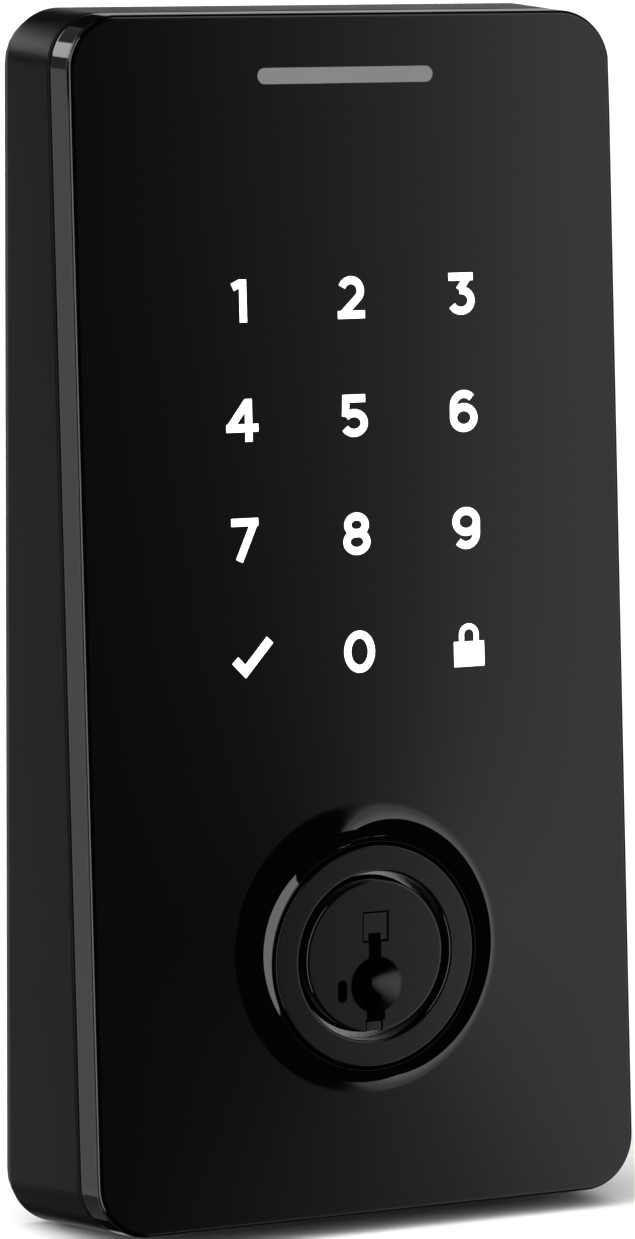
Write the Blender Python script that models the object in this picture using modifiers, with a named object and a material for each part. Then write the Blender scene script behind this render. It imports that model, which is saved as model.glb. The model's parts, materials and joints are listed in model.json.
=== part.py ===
# Keypad smart lock: the unit on the outside of the door, with its key cylinder.
# The origin is where the cylinder's axis meets the door's face. +Z is up, the keypad
# faces -Y, and +Y points into the door. Everything is in metres.
import math

import bmesh
import bpy

MM = 0.001

# Driving dimensions: the case, whose sides flare from the keypad face to the door
HALF_WIDTH = 34.3 * MM
LOW = -29.5 * MM                # bottom edge, below the cylinder's axis
HIGH = 105.3 * MM               # top edge
FLARE_SIDE = 0.75 * MM
FLARE_BOTTOM = 2.0 * MM
FLARE_TOP = 0.55 * MM
CASE_REAR = 1.3 * MM            # the housing's rear edge, in front of the door's face
CORNER = 6.2 * MM
DEPTH_BOTTOM = 23.6 * MM        # door face to keypad face at the bottom edge
DEPTH_TOP = 15.6 * MM
WALL = 2.0 * MM
GAP = 0.3 * MM                  # clearance kept between neighbours

# Driving dimensions: layers behind the keypad face, measured into the lock
LENS_THICK = 1.8 * MM
LENS_INSET = 0.7 * MM           # the step behind the lens's edge, in from the case's outline
LENS_EDGE = 1.0 * MM            # thickness of the edge that covers the bezel's front
LEDGE_DEPTH = 2.8 * MM          # the ledge that the lens's gasket rests on
BEZEL_DEPTH = 4.34 * MM
SKIRT_END = 7.4 * MM            # the bezel's skirt plugs into the housing
BOARD_FRONT = 4.2 * MM
BOARD_REAR = 5.2 * MM
COVER_FRONT = 6.9 * MM
COVER_REAR = 7.9 * MM
DECK_FRONT = 9.4 * MM           # the housing's web, behind the electronics
DECK_REAR = 11.2 * MM

# Driving dimensions: the keypad
COLUMN_PITCH = 14.1 * MM
ROW_PITCH = 13.24 * MM
TOP_ROW = 73.8 * MM             # up the face from the cylinder's axis
ELECTRONICS_LOW = 22.0 * MM
ELECTRONICS_HIGH = 101.4 * MM

# Driving dimensions: the cylinder, with depths as distances in front of the door's face
GUARD_FRONT = 23.75 * MM
GUARD_RADIUS = 12.54 * MM
GUARD_BORE = 9.62 * MM
LIP_FRONT = 23.62 * MM          # the lens rises in a soft lip round the guard
LIP_RADIUS = 13.05 * MM
LIP_FILLET = 4.8 * MM
LIP_BORE = 12.85 * MM
COLLAR_RADIUS = 15.6 * MM       # the lip's root behind the lens, which presses the seal
COLLAR_REAR = 16.2 * MM
BODY_RADIUS = 11.0 * MM
BODY_FRONT = 21.45 * MM
BODY_REAR = -6.5 * MM
BODY_BORE = 8.97 * MM
PLUG_RADIUS = 8.67 * MM
PLUG_REAR = -3.9 * MM
PLUG_BOSS = 6.0 * MM
EAR_REACH = 16.26 * MM          # the cylinder's screws, from the axis
KEYWAY_HALF = 0.8 * MM
PIN_PITCH = 3.8 * MM
FIRST_PIN = 6.3 * MM            # behind the plug's face
PIN_COUNT = 5
PIN_RADIUS = 1.35 * MM
PIN_LOW = -1.5 * MM
PIN_HIGH = 3.0 * MM
CHAMBER_RADIUS = 1.6 * MM
CHAMBER_HIGH = 7.2 * MM
TAIL_LENGTH = 50.0 * MM         # tailpiece's end, inside the door
TAIL_HALF_WIDTH = 3.3 * MM
TAIL_HALF_THICK = 0.8 * MM
TAIL_SWING = 45.0               # degrees of lost motion each way

# Driving dimensions: what fastens it
POST_SPACING = 38.1 * MM
POST_RADIUS = 3.9 * MM
POST_REAR = -4.0 * MM
PLATE_FRONT = 3.2 * MM
PLATE_REAR = 1.6 * MM
CABLE_HEIGHT = 21.5 * MM

ARC_STEPS = 7                   # faces round one rounded corner
LIP_STEPS = 5                   # rings between the lip's foot and its rim
ROUND = 36                      # faces round a large turned piece
SMALL_ROUND = 16

SLOPE = (DEPTH_BOTTOM - DEPTH_TOP) / (HIGH - LOW)
TILT = math.atan(SLOPE)
FACE_AT_AXIS = DEPTH_BOTTOM + LOW * SLOPE

for old in list(bpy.data.objects):
    bpy.data.objects.remove(old)

parts = bpy.data.collections.new("keypad_smart_lock")
cutters = bpy.data.collections.new("cutters")
bpy.context.scene.collection.children.link(parts)
bpy.context.scene.collection.children.link(cutters)

# The keypad face leans back at the top. Pieces of the front are children of this
# empty, where y is the depth behind the face and z runs up along it.
face_frame = bpy.data.objects.new("face_frame", None)
face_frame.location = (0, -FACE_AT_AXIS, 0)
face_frame.rotation_euler = (-TILT, 0, 0)
cutters.objects.link(face_frame)


# Building blocks -------------------------------------------------------------

def material(name, colour, roughness, metallic):
    found = bpy.data.materials.get(name)
    if found:
        return found
    made = bpy.data.materials.new(name)
    made.use_nodes = True
    shader = made.node_tree.nodes["Principled BSDF"]
    shader.inputs["Base Color"].default_value = (*colour, 1)
    shader.inputs["Roughness"].default_value = roughness
    shader.inputs["Metallic"].default_value = metallic
    return made


FINISHES = {
    "black_metal": ((0.015, 0.015, 0.016), 0.45, 0.6),
    "gloss_black": ((0.008, 0.008, 0.009), 0.08, 0.0),
    "rubber": ((0.02, 0.02, 0.02), 0.85, 0.0),
    "white_film": ((0.8, 0.8, 0.78), 0.5, 0.0),
    "board": ((0.01, 0.12, 0.05), 0.45, 0.0),
    "chip": ((0.02, 0.02, 0.022), 0.4, 0.0),
    "led": ((0.85, 0.85, 0.7), 0.25, 0.0),
    "nylon": ((0.75, 0.73, 0.66), 0.5, 0.0),
    "steel": ((0.5, 0.5, 0.5), 0.3, 1.0),
    "brass": ((0.62, 0.48, 0.2), 0.3, 1.0),
}


def add(name, bm, group, frame=None):
    bmesh.ops.recalc_face_normals(bm, faces=bm.faces)
    mesh = bpy.data.meshes.new(name)
    bm.to_mesh(mesh)
    bm.free()
    mesh.shade_smooth()
    mesh.set_sharp_from_angle(angle=math.radians(30))
    made = bpy.data.objects.new(name, mesh)
    made.parent = frame
    group.objects.link(made)
    if group is cutters:
        made.hide_render = True
        made.display_type = "WIRE"
    return made


def prism(name, outline, front, rear, group=parts, frame=None):
    """A flat outline of (x, z) points, extruded along y from front to rear."""
    bm = bmesh.new()
    face = bm.faces.new([bm.verts.new((x, front, z)) for x, z in outline])
    grown = bmesh.ops.extrude_face_region(bm, geom=[face])["geom"]
    moved = [item for item in grown if isinstance(item, bmesh.types.BMVert)]
    bmesh.ops.translate(bm, verts=moved, vec=(0, rear - front, 0))
    return add(name, bm, group, frame)


def box(name, x, y, z, group=parts, frame=None):
    """A box from three (low, high) pairs."""
    bm = bmesh.new()
    bmesh.ops.create_cube(bm, size=1.0)
    bmesh.ops.scale(bm, verts=bm.verts, vec=(x[1] - x[0], y[1] - y[0], z[1] - z[0]))
    made = add(name, bm, group, frame)
    made.location = ((x[0] + x[1]) / 2, (y[0] + y[1]) / 2, (z[0] + z[1]) / 2)
    return made


def rod(name, radius, front, rear, x=0.0, z=0.0, group=parts, frame=None, faces=SMALL_ROUND, tip=None):
    """A cylinder along y, or a cone when the front end has its own radius."""
    bm = bmesh.new()
    bmesh.ops.create_cone(bm, cap_ends=True, segments=faces, radius1=radius,
                          radius2=radius if tip is None else tip, depth=abs(rear - front))
    made = add(name, bm, group, frame)
    made.rotation_euler = (math.radians(90), 0, 0)
    made.location = (x, (front + rear) / 2, z)
    return made


def turned(name, profile, group=parts, frame=None, faces=ROUND):
    """A profile of (radius, distance towards the front) points, turned about y."""
    mesh = bpy.data.meshes.new(name)
    ring = [(radius, 0, reach) for radius, reach in profile]
    count = len(ring)
    mesh.from_pydata(ring, [(i, (i + 1) % count) for i in range(count)], [])
    made = bpy.data.objects.new(name, mesh)
    made.parent = frame
    made.rotation_euler = (math.radians(90), 0, 0)
    group.objects.link(made)
    screw = made.modifiers.new("turn", "SCREW")
    screw.axis = "Z"
    screw.angle = math.tau
    screw.steps = faces
    screw.render_steps = faces
    screw.use_merge_vertices = True
    screw.merge_threshold = 0.00001
    screw.use_smooth_shade = True
    if group is cutters:
        made.hide_render = True
        made.display_type = "WIRE"
    return made


def combine(target, operation, tool):
    step = target.modifiers.new(operation.lower(), "BOOLEAN")
    step.operation = operation
    step.solver = "EXACT"
    step.object = tool


def cut(target, *tools):
    for tool in tools:
        combine(target, "DIFFERENCE", tool)


def join(target, *tools):
    for tool in tools:
        combine(target, "UNION", tool)


def finish(made, look):
    made.data.materials.append(material(look, *FINISHES[look]))
    return made


def arc(centre_x, centre_z, radius, start, end, steps):
    """Points on an arc, angles in degrees from +X towards +Z."""
    return [(centre_x + radius * math.cos(math.radians(start + (end - start) * i / steps)),
             centre_z + radius * math.sin(math.radians(start + (end - start) * i / steps)))
            for i in range(steps + 1)]


def rounded(half_width, low, high, radius, steps=ARC_STEPS):
    x = half_width - radius
    return (arc(x, low + radius, radius, -90, 0, steps) + arc(x, high - radius, radius, 0, 90, steps)
            + arc(-x, high - radius, radius, 90, 180, steps) + arc(-x, low + radius, radius, 180, 270, steps))


def case_outline(inset, steps=ARC_STEPS):
    """The case's outline seen from the front, drawn in by an inset."""
    return rounded(HALF_WIDTH - inset, LOW + inset, HIGH - inset, max(CORNER - inset, 1.0 * MM), steps)


def face_outline(inset, steps=ARC_STEPS):
    """The same outline measured up the leaning face."""
    return rounded(HALF_WIDTH - inset, LOW / math.cos(TILT) + inset, HIGH / math.cos(TILT) - inset,
                   max(CORNER - inset, 1.0 * MM), steps)


def flared_ring(inset, depth):
    """The case's outline at a depth behind the keypad face, on its flaring sides."""
    rear_outline = rounded(HALF_WIDTH + FLARE_SIDE - inset, LOW - FLARE_BOTTOM + inset,
                           HIGH + FLARE_TOP - inset, max(CORNER - inset, 1.0 * MM))
    ring_points = []
    for (x, z), (rear_x, rear_z) in zip(case_outline(inset), rear_outline):
        share = depth / (-face_y(z) - CASE_REAR)
        ring_points.append((x + (rear_x - x) * share, face_y(z) + depth, z + (rear_z - z) * share))
    return ring_points


def rear_ring(inset, y):
    """The case's outline at the door, at a given y."""
    return [(x, y, z) for x, z in rounded(HALF_WIDTH + FLARE_SIDE - inset, LOW - FLARE_BOTTOM + inset,
                                          HIGH + FLARE_TOP - inset, CORNER - inset)]


def loft(name, rings, group=None):
    """Rings of equal length joined by quads, with a cap on each end."""
    bm = bmesh.new()
    grid = [[bm.verts.new(point) for point in ring_points] for ring_points in rings]
    for near, far in zip(grid, grid[1:]):
        for i in range(len(near)):
            bm.faces.new((near[i - 1], near[i], far[i], far[i - 1]))
    bm.faces.new(grid[0])
    bm.faces.new(grid[-1])
    return add(name, bm, group or parts)


def stadium(half_length, radius, centre_x=0.0, centre_z=0.0, turn=0.0, steps=10):
    """Two half circles joined by straight sides, along a line turned from +X."""
    cos_turn = math.cos(math.radians(turn))
    sin_turn = math.sin(math.radians(turn))
    flat = arc(half_length, 0, radius, -90, 90, steps) + arc(-half_length, 0, radius, 90, 270, steps)
    return [(centre_x + x * cos_turn - z * sin_turn, centre_z + x * sin_turn + z * cos_turn) for x, z in flat]


def face_y(z):
    """World y of the keypad face at a height."""
    return -(DEPTH_BOTTOM - (z - LOW) * SLOPE)


# The case ------------------------------------------------------------------

PLATE_SCREW_PLACES = [(side * 27.5 * MM, z) for z in (LOW + 7.0 * MM, HIGH - 7.0 * MM) for side in (-1, 1)]
EAR_SHIFT = EAR_REACH / math.sqrt(2)
EAR_PLACES = {"upper": (-EAR_SHIFT, EAR_SHIFT), "lower": (EAR_SHIFT, -EAR_SHIFT)}
COVER_SCREW_PLACES = [(side * 27.2 * MM, z) for z in (25.2 * MM, 98.6 * MM) for side in (-1, 1)]
POST_SIDES = {"left": -POST_SPACING / 2, "right": POST_SPACING / 2}
FAR = 40.0 * MM                 # reach of a cutter that clears everything


def rear_housing():
    shell = loft("rear_housing", [flared_ring(0, 0), rear_ring(0, -CASE_REAR)])
    ahead = box("ahead_of_housing", (-FAR, FAR), (-FAR, BEZEL_DEPTH + 0.35 * MM), (-FAR, 3 * FAR), cutters, face_frame)
    cut(shell, ahead)
    front_room = prism("front_room", face_outline(WALL), -FAR, DECK_FRONT, cutters, face_frame)
    rear_room = prism("rear_room", case_outline(WALL), -FAR, FAR, cutters)
    ahead_of_room = box("ahead_of_room", (-FAR, FAR), (-FAR, DECK_REAR), (-FAR, 3 * FAR), cutters, face_frame)
    cut(rear_room, ahead_of_room)
    cut(shell, front_room, rear_room)
    bosses = [(x, z, 2.9 * MM, -PLATE_FRONT - GAP) for x, z in PLATE_SCREW_PLACES]
    bosses += [(x, z, 2.9 * MM, -8.2 * MM) for x, z in EAR_PLACES.values()]
    for number, (x, z, radius, end) in enumerate(bosses, 1):
        root = face_y(z) + (DECK_FRONT + DECK_REAR) / 2
        join(shell, rod(f"housing_boss_{number}", radius, root, end, x, z, cutters))
        cut(shell, rod(f"housing_pilot_{number}", 1.2 * MM, end - 2.7 * MM, end + 1.0 * MM, x, z, cutters))
    cut(shell, rod("guard_way", GUARD_RADIUS + 0.46 * MM, -FAR, FAR, group=cutters, faces=ROUND))
    cut(shell, box("harness_way", (-7.5 * MM, 7.5 * MM), (8.0 * MM, 13.0 * MM), (22.5 * MM, 31.0 * MM),
                   cutters, face_frame))
    return finish(shell, "black_metal")


def front_bezel():
    band = loft("front_bezel", [flared_ring(0, LENS_EDGE + GAP), flared_ring(0, BEZEL_DEPTH)])
    skirt = prism("bezel_skirt", face_outline(WALL + GAP), BEZEL_DEPTH - 0.5 * MM, SKIRT_END, cutters, face_frame)
    lens_seat = prism("lens_seat", face_outline(0.35 * MM), -FAR, LEDGE_DEPTH, cutters, face_frame)
    window = prism("bezel_window", face_outline(3.9 * MM), -FAR, FAR, cutters, face_frame)
    join(band, skirt)
    cut(band, lens_seat, window)
    for number, (x, z) in enumerate(COVER_SCREW_PLACES, 1):
        side = math.copysign(1, x)
        span = sorted((side * 24.2 * MM, side * 31.5 * MM))
        reach = (z - 3.2 * MM, z + 3.2 * MM) if z < 50 * MM else (z - 3.2 * MM, z + 3.9 * MM)
        join(band, box(f"bezel_ear_{number}", span, (LEDGE_DEPTH + 0.05 * MM, BOARD_FRONT - GAP), reach,
                       cutters, face_frame))
        cut(band, rod(f"bezel_pilot_{number}", 1.05 * MM, 3.15 * MM, 4.5 * MM, x, z, cutters, face_frame, 12))
    return finish(band, "gloss_black")


def edge_point(angle, inset):
    """Where a ray from the cylinder's axis meets the case's outline."""
    half, low, high = HALF_WIDTH - inset, LOW + inset, HIGH - inset
    radius = max(CORNER - inset, 1.0 * MM)
    c, s = math.cos(angle), math.sin(angle)
    reach = min(half / max(abs(c), 1e-9), (high if s > 0 else -low) / max(abs(s), 1e-9))
    x, z = reach * c, reach * s
    if abs(x) > half - radius and (z > high - radius or z < low + radius):
        centre_x = math.copysign(half - radius, c)
        centre_z = high - radius if s > 0 else low + radius
        along = centre_x * c + centre_z * s
        reach = along + math.sqrt(max(radius ** 2 + along ** 2 - centre_x ** 2 - centre_z ** 2, 0))
        x, z = reach * c, reach * s
    return x, z


def lip_profile(angle):
    """(radius, height over the face) points from the lip's foot to its rim: an arc tangent to the face."""
    rise = LIP_FRONT + face_y(LIP_RADIUS * math.sin(angle))
    foot = LIP_RADIUS + math.sqrt(rise * (2 * LIP_FILLET - rise))
    steep = math.acos(1 - rise / LIP_FILLET)
    turns = [steep * i / LIP_STEPS for i in range(LIP_STEPS + 1)]
    return [(foot - LIP_FILLET * math.sin(turn), LIP_FILLET * (1 - math.cos(turn))) for turn in turns]


def touch_lens():
    """A loft of rings, each with a point on every ray from the cylinder's axis."""
    corners = [math.atan2(z, x) % math.tau for x, z in case_outline(LENS_INSET)]
    rays = sorted(corners + [math.tau * (i + 0.5) / ROUND for i in range(ROUND)])
    step_outline = [edge_point(ray, LENS_INSET) for ray in rays]
    edge_outline = [edge_point(ray, 0) for ray in rays]
    lips = [lip_profile(ray) for ray in rays]
    back = LENS_THICK / math.cos(TILT)

    def circle(radius, front):
        return [(radius * math.cos(ray), -front, radius * math.sin(ray)) for ray in rays]

    rings = [[(x, face_y(z) + depth, z) for x, z in step_outline] for depth in (back, LENS_EDGE)]
    rings += [[(x, face_y(z) + depth, z) for x, z in edge_outline] for depth in (LENS_EDGE, 0)]
    for step in range(LIP_STEPS + 1):
        flat = [(lip[step][0] * math.cos(ray), lip[step][0] * math.sin(ray), lip[step][1])
                for ray, lip in zip(rays, lips)]
        rings.append([(x, face_y(z) - height, z) for x, z, height in flat])
    rings += [circle(LIP_BORE, LIP_FRONT), circle(LIP_BORE, COLLAR_REAR), circle(COLLAR_RADIUS, COLLAR_REAR)]
    rings.append([(x, face_y(z) + back, z) for x, y, z in circle(COLLAR_RADIUS, 0)])
    bm = bmesh.new()
    grid = [[bm.verts.new(point) for point in ring] for ring in rings]
    for inner, outer in zip(grid, grid[1:] + grid[:1]):
        for i in range(len(rays)):
            bm.faces.new((inner[i - 1], inner[i], outer[i], outer[i - 1]))
    return finish(add("touch_lens", bm, parts), "gloss_black")


def ring(name, inset_outer, inset_inner, front, rear, outline, frame=None):
    made = prism(name, outline(inset_outer), front, rear, frame=frame)
    cut(made, prism(name + "_window", outline(inset_inner), front - 1 * MM, rear + 1 * MM, cutters, frame))
    return made


def lens_gasket():
    return finish(ring("lens_gasket", 1.0 * MM, 3.7 * MM, 2.05 * MM, 2.55 * MM, face_outline, face_frame), "rubber")


def rear_gasket():
    gasket = loft("rear_gasket", [rear_ring(0.6 * MM, -1.0 * MM), rear_ring(0.6 * MM, 0.0)])
    cut(gasket, prism("gasket_window", case_outline(4.1 * MM), -FAR, FAR, cutters))
    return finish(gasket, "rubber")


def rear_plate():
    plate = prism("rear_plate", case_outline(WALL + GAP), -PLATE_FRONT, -PLATE_REAR)
    cut(plate, rod("body_way", BODY_RADIUS + 0.5 * MM, -FAR, FAR, group=cutters, faces=ROUND))
    for side, x in POST_SIDES.items():
        cut(plate, rod(f"post_way_{side}", POST_RADIUS + 0.4 * MM, -FAR, FAR, x, group=cutters))
    for number, (x, z) in enumerate(PLATE_SCREW_PLACES, 1):
        cut(plate, rod(f"plate_hole_{number}", 1.5 * MM, -FAR, FAR, x, z, cutters, faces=12))
    cut(plate, prism("cable_way", stadium(3.4 * MM, 3.6 * MM, 0, CABLE_HEIGHT), -FAR, FAR, cutters))
    return finish(plate, "steel")


def cable_grommet():
    grommet = prism("cable_grommet", stadium(3.4 * MM, 3.3 * MM, 0, CABLE_HEIGHT), -4.4 * MM, -0.1 * MM)
    for number, (front, rear) in enumerate(((-4.4 * MM, -3.5 * MM), (-1.3 * MM, -0.1 * MM)), 1):
        join(grommet, prism(f"grommet_flange_{number}", stadium(3.4 * MM, 5.0 * MM, 0, CABLE_HEIGHT),
                            front, rear, cutters))
    cut(grommet, prism("grommet_hole", stadium(3.4 * MM, 2.5 * MM, 0, CABLE_HEIGHT), -FAR, FAR, cutters))
    return finish(grommet, "rubber")


def screw_piece(name, x, z, head_front, head_rear, tip, head_radius, shaft_radius, frame=None):
    """A pan head and its shaft as one turned piece, with a cross-shaped drive."""
    profile = [(0, -tip), (shaft_radius, -tip - 0.4 * MM), (shaft_radius, -head_front), (head_radius, -head_front),
               (head_radius, -head_rear + 0.4 * MM), (head_radius - 0.4 * MM, -head_rear), (0, -head_rear)]
    made = turned(name, profile, frame=frame, faces=14)
    made.location = (x, 0, z)
    for turn, (w, h) in enumerate(((0.35 * MM, head_radius * 0.55), (head_radius * 0.55, 0.35 * MM)), 1):
        cut(made, box(f"{name}_drive_{turn}", (x - w, x + w), (head_rear - 0.5 * MM, head_rear + 0.5 * MM),
                      (z - h, z + h), cutters, frame))
    return finish(made, "steel")


def bolt_post(side, x):
    profile = [(0, 10.0 * MM), (5.5 * MM, 10.0 * MM), (5.5 * MM, 8.5 * MM), (POST_RADIUS, 8.5 * MM),
               (POST_RADIUS, POST_REAR), (2.05 * MM, POST_REAR), (2.05 * MM, 5.5 * MM), (0, 6.6 * MM)]
    post = turned(f"bolt_post_{side}", profile, faces=24)
    post.location = (x, 0, 0)
    return finish(post, "steel")


# The electronics ---------------------------------------------------------------

KEY_PLACES = [((column - 1) * COLUMN_PITCH, TOP_ROW - row * ROW_PITCH) for row in range(4) for column in range(3)]


def electronics():
    sheet_low = 25.5 * MM
    sheet_high = 82.5 * MM
    diffuser = prism("diffuser_sheet", rounded(23.5 * MM, sheet_low, sheet_high, 2 * MM, 3), 2.05 * MM, 2.35 * MM,
                     frame=face_frame)
    finish(diffuser, "white_film")
    mask = prism("light_mask", rounded(23.5 * MM, sheet_low, sheet_high, 2 * MM, 3), 2.6 * MM, 3.95 * MM,
                 frame=face_frame)
    for number, (x, z) in enumerate(KEY_PLACES, 1):
        cell = 4.6 * MM
        cut(mask, box(f"light_cell_{number}", (x - cell, x + cell), (0, 5 * MM), (z - cell, z + cell),
                      cutters, face_frame))
        led = box(f"key_led_{number:02d}", (x - 1.4 * MM, x + 1.4 * MM), (3.3 * MM, 3.95 * MM),
                  (z - 1.75 * MM, z + 1.75 * MM), frame=face_frame)
        finish(led, "led")
    finish(mask, "white_film")
    board = prism("touch_board", rounded(29.8 * MM, ELECTRONICS_LOW, ELECTRONICS_HIGH, 2.5 * MM, 4),
                  BOARD_FRONT, BOARD_REAR, frame=face_frame)
    cover = prism("board_cover", rounded(29.4 * MM, ELECTRONICS_LOW + 0.4 * MM, ELECTRONICS_HIGH - 0.4 * MM, 2.1 * MM, 4),
                  COVER_FRONT, COVER_REAR, frame=face_frame)
    for number, (x, z) in enumerate(COVER_SCREW_PLACES, 1):
        hole = rod(f"cover_hole_{number}", 1.3 * MM, 0, FAR / 2, x, z, cutters, face_frame, 12)
        cut(board, hole)
        cut(cover, hole)
        screw_piece(f"cover_screw_{number}", x, z, COVER_REAR + 0.2 * MM, COVER_REAR + 1.2 * MM, 3.3 * MM,
                    2.0 * MM, 0.8 * MM, face_frame)
    cut(cover, box("socket_window", (-7 * MM, 7 * MM), (6 * MM, 9 * MM), (23.9 * MM, 30.1 * MM), cutters, face_frame))
    buzzer_place = (14 * MM, 67 * MM)
    cut(cover, rod("buzzer_window", 4.9 * MM, 6 * MM, 9 * MM, *buzzer_place, cutters, face_frame, 24))
    finish(board, "board")
    finish(cover, "chip")
    rear_side = BOARD_REAR + 0.2 * MM
    finish(box("touch_chip", (-15.5 * MM, -8.5 * MM), (rear_side, 6.4 * MM), (50.5 * MM, 57.5 * MM),
               frame=face_frame), "chip")
    finish(box("main_chip", (-4.5 * MM, 4.5 * MM), (rear_side, 6.6 * MM), (78 * MM, 87 * MM), frame=face_frame), "chip")
    buzzer = rod("buzzer", 4.5 * MM, 8.9 * MM, rear_side, *buzzer_place, frame=face_frame, faces=24)
    cut(buzzer, rod("buzzer_port", 1.0 * MM, 8.2 * MM, 9.5 * MM, *buzzer_place, cutters, face_frame, 12))
    finish(buzzer, "chip")
    socket = box("harness_socket", (-6 * MM, 6 * MM), (rear_side, 9.1 * MM), (24.5 * MM, 29.5 * MM), frame=face_frame)
    cut(socket, box("socket_mouth", (-5.2 * MM, 5.2 * MM), (6.4 * MM, 9.9 * MM), (25.2 * MM, 28.8 * MM),
                    cutters, face_frame))
    finish(socket, "nylon")


# The cylinder -------------------------------------------------------------------

def cylinder_guard():
    guard = turned("cylinder_guard", [
        (GUARD_BORE + 0.25 * MM, GUARD_FRONT), (GUARD_RADIUS - 0.3 * MM, GUARD_FRONT),
        (GUARD_RADIUS, GUARD_FRONT - 0.3 * MM), (GUARD_RADIUS, 15.0 * MM), (16.5 * MM, 15.0 * MM),
        (16.5 * MM, 13.8 * MM), (GUARD_RADIUS, 13.8 * MM), (GUARD_RADIUS, 9.0 * MM), (11.3 * MM, 9.0 * MM),
        (11.3 * MM, GUARD_FRONT - 2.0 * MM), (GUARD_BORE, GUARD_FRONT - 2.0 * MM),
        (GUARD_BORE, GUARD_FRONT - 0.25 * MM)])
    return finish(guard, "black_metal")


def guard_seal():
    return finish(turned("guard_seal", [(12.85 * MM, 15.9 * MM), (16.2 * MM, 15.9 * MM), (16.2 * MM, 15.3 * MM),
                                        (12.85 * MM, 15.3 * MM)]), "rubber")


def cylinder_body():
    body = rod("cylinder_body", BODY_RADIUS, -BODY_FRONT, -BODY_REAR, faces=ROUND)
    join(body, prism("body_ears", stadium(EAR_REACH, 3.8 * MM, turn=135.0), -7.9 * MM, -5.4 * MM, cutters))
    cut(body, rod("body_bore", BODY_BORE, -FAR, -PLUG_REAR + GAP, group=cutters, faces=ROUND))
    cut(body, rod("body_rear_hole", PLUG_BOSS + GAP, -FAR, FAR, group=cutters, faces=ROUND))
    along, across, deep = (-19.6 * MM, 1.6 * MM), (-1.4 * MM, 1.4 * MM), (7.5 * MM, 9.9 * MM)
    cut(body, box("bar_groove", (-deep[1], -deep[0]), along, across, cutters))
    cut(body, box("rekey_groove", across, along, deep, cutters))        # the bar's place a quarter turn on
    for place, (x, z) in EAR_PLACES.items():
        cut(body, rod(f"ear_hole_{place}", 1.6 * MM, -9 * MM, -4 * MM, x, z, cutters, faces=16))
    return finish(body, "brass")


PLUG_FACE = -GUARD_FRONT
PIN_DEPTHS = [PLUG_FACE + FIRST_PIN + number * PIN_PITCH for number in range(PIN_COUNT)]


def bow_tie():
    """The hollow that lets the tailpiece swing before the plug picks it up."""
    reach = 3.6 * MM
    open_angle = TAIL_SWING + math.degrees(math.atan2(TAIL_HALF_THICK, TAIL_HALF_WIDTH)) + 3.0
    waist = 1.35 * MM
    return (arc(0, 0, reach, -open_angle, open_angle, 10) + [(0, waist)]
            + arc(0, 0, reach, 180 - open_angle, 180 + open_angle, 10) + [(0, -waist)])


def key_plug():
    groove = 5.05 * MM
    boss_end = -9.0 * MM
    edge = 0.2 * MM
    plug = turned("key_plug", [
        (0, GUARD_FRONT), (PLUG_RADIUS - edge, GUARD_FRONT), (PLUG_RADIUS, GUARD_FRONT - edge),
        (PLUG_RADIUS, PLUG_REAR), (PLUG_BOSS, PLUG_REAR), (PLUG_BOSS, -6.6 * MM), (groove, -6.6 * MM),
        (groove, -7.8 * MM), (PLUG_BOSS, -7.8 * MM), (PLUG_BOSS, boss_end), (0, boss_end)])
    keyway_end = 2.0 * MM
    cut(plug,
        box("keyway_upper", (-KEYWAY_HALF, KEYWAY_HALF), (-FAR, keyway_end), (-7.4 * MM, 2.6 * MM), cutters),
        box("keyway_lower", (-1.0 * MM, 1.35 * MM), (-FAR, keyway_end - 0.1 * MM), (-7.3 * MM, -4.5 * MM), cutters),
        rod("key_dish", 0.9 * MM, PLUG_FACE - 1.0 * MM, PLUG_FACE + 2.3 * MM, 0.15 * MM, -3.25 * MM,
            cutters, faces=24, tip=4.27 * MM),
        box("guard_pocket", (-1.6 * MM, 1.75 * MM), (-FAR, PLUG_FACE + 4.3 * MM), (1.6 * MM, 5.1 * MM), cutters),
        box("foot_pocket", (-1.15 * MM, 1.05 * MM), (-FAR, PLUG_FACE + 3.3 * MM), (-9.5 * MM, -7.2 * MM), cutters),
        prism("tool_slot", stadium(0.7 * MM, 0.6 * MM, -4.12 * MM, -3.72 * MM, 90.0, 6), -FAR, -18.5 * MM, cutters),
        box("carrier_slot", (-5.2 * MM, -3.1 * MM), (-18.9 * MM, 2.2 * MM), (-5.2 * MM, -1.9 * MM), cutters),
        box("bar_slot", (-9.5 * MM, -3.2 * MM), (-19.3 * MM, 1.3 * MM), (-1.3 * MM, 1.3 * MM), cutters),
        prism("tail_hollow", bow_tie(), 5.0 * MM, FAR, cutters))
    for number, depth in enumerate(PIN_DEPTHS, 1):
        chamber = rod(f"pin_chamber_{number}", CHAMBER_RADIUS, 0, CHAMBER_HIGH - PIN_LOW + 0.4 * MM, group=cutters)
        chamber.rotation_euler = (0, 0, 0)
        chamber.location = (0, depth, (CHAMBER_HIGH + PIN_LOW - 0.4 * MM) / 2)
        cut(plug, chamber, box(f"rack_slot_{number}", (-3.3 * MM, 0), (depth - 1.2 * MM, depth + 1.2 * MM),
                               (-0.8 * MM, 5.9 * MM), cutters))
    return finish(plug, "black_metal")


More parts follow.
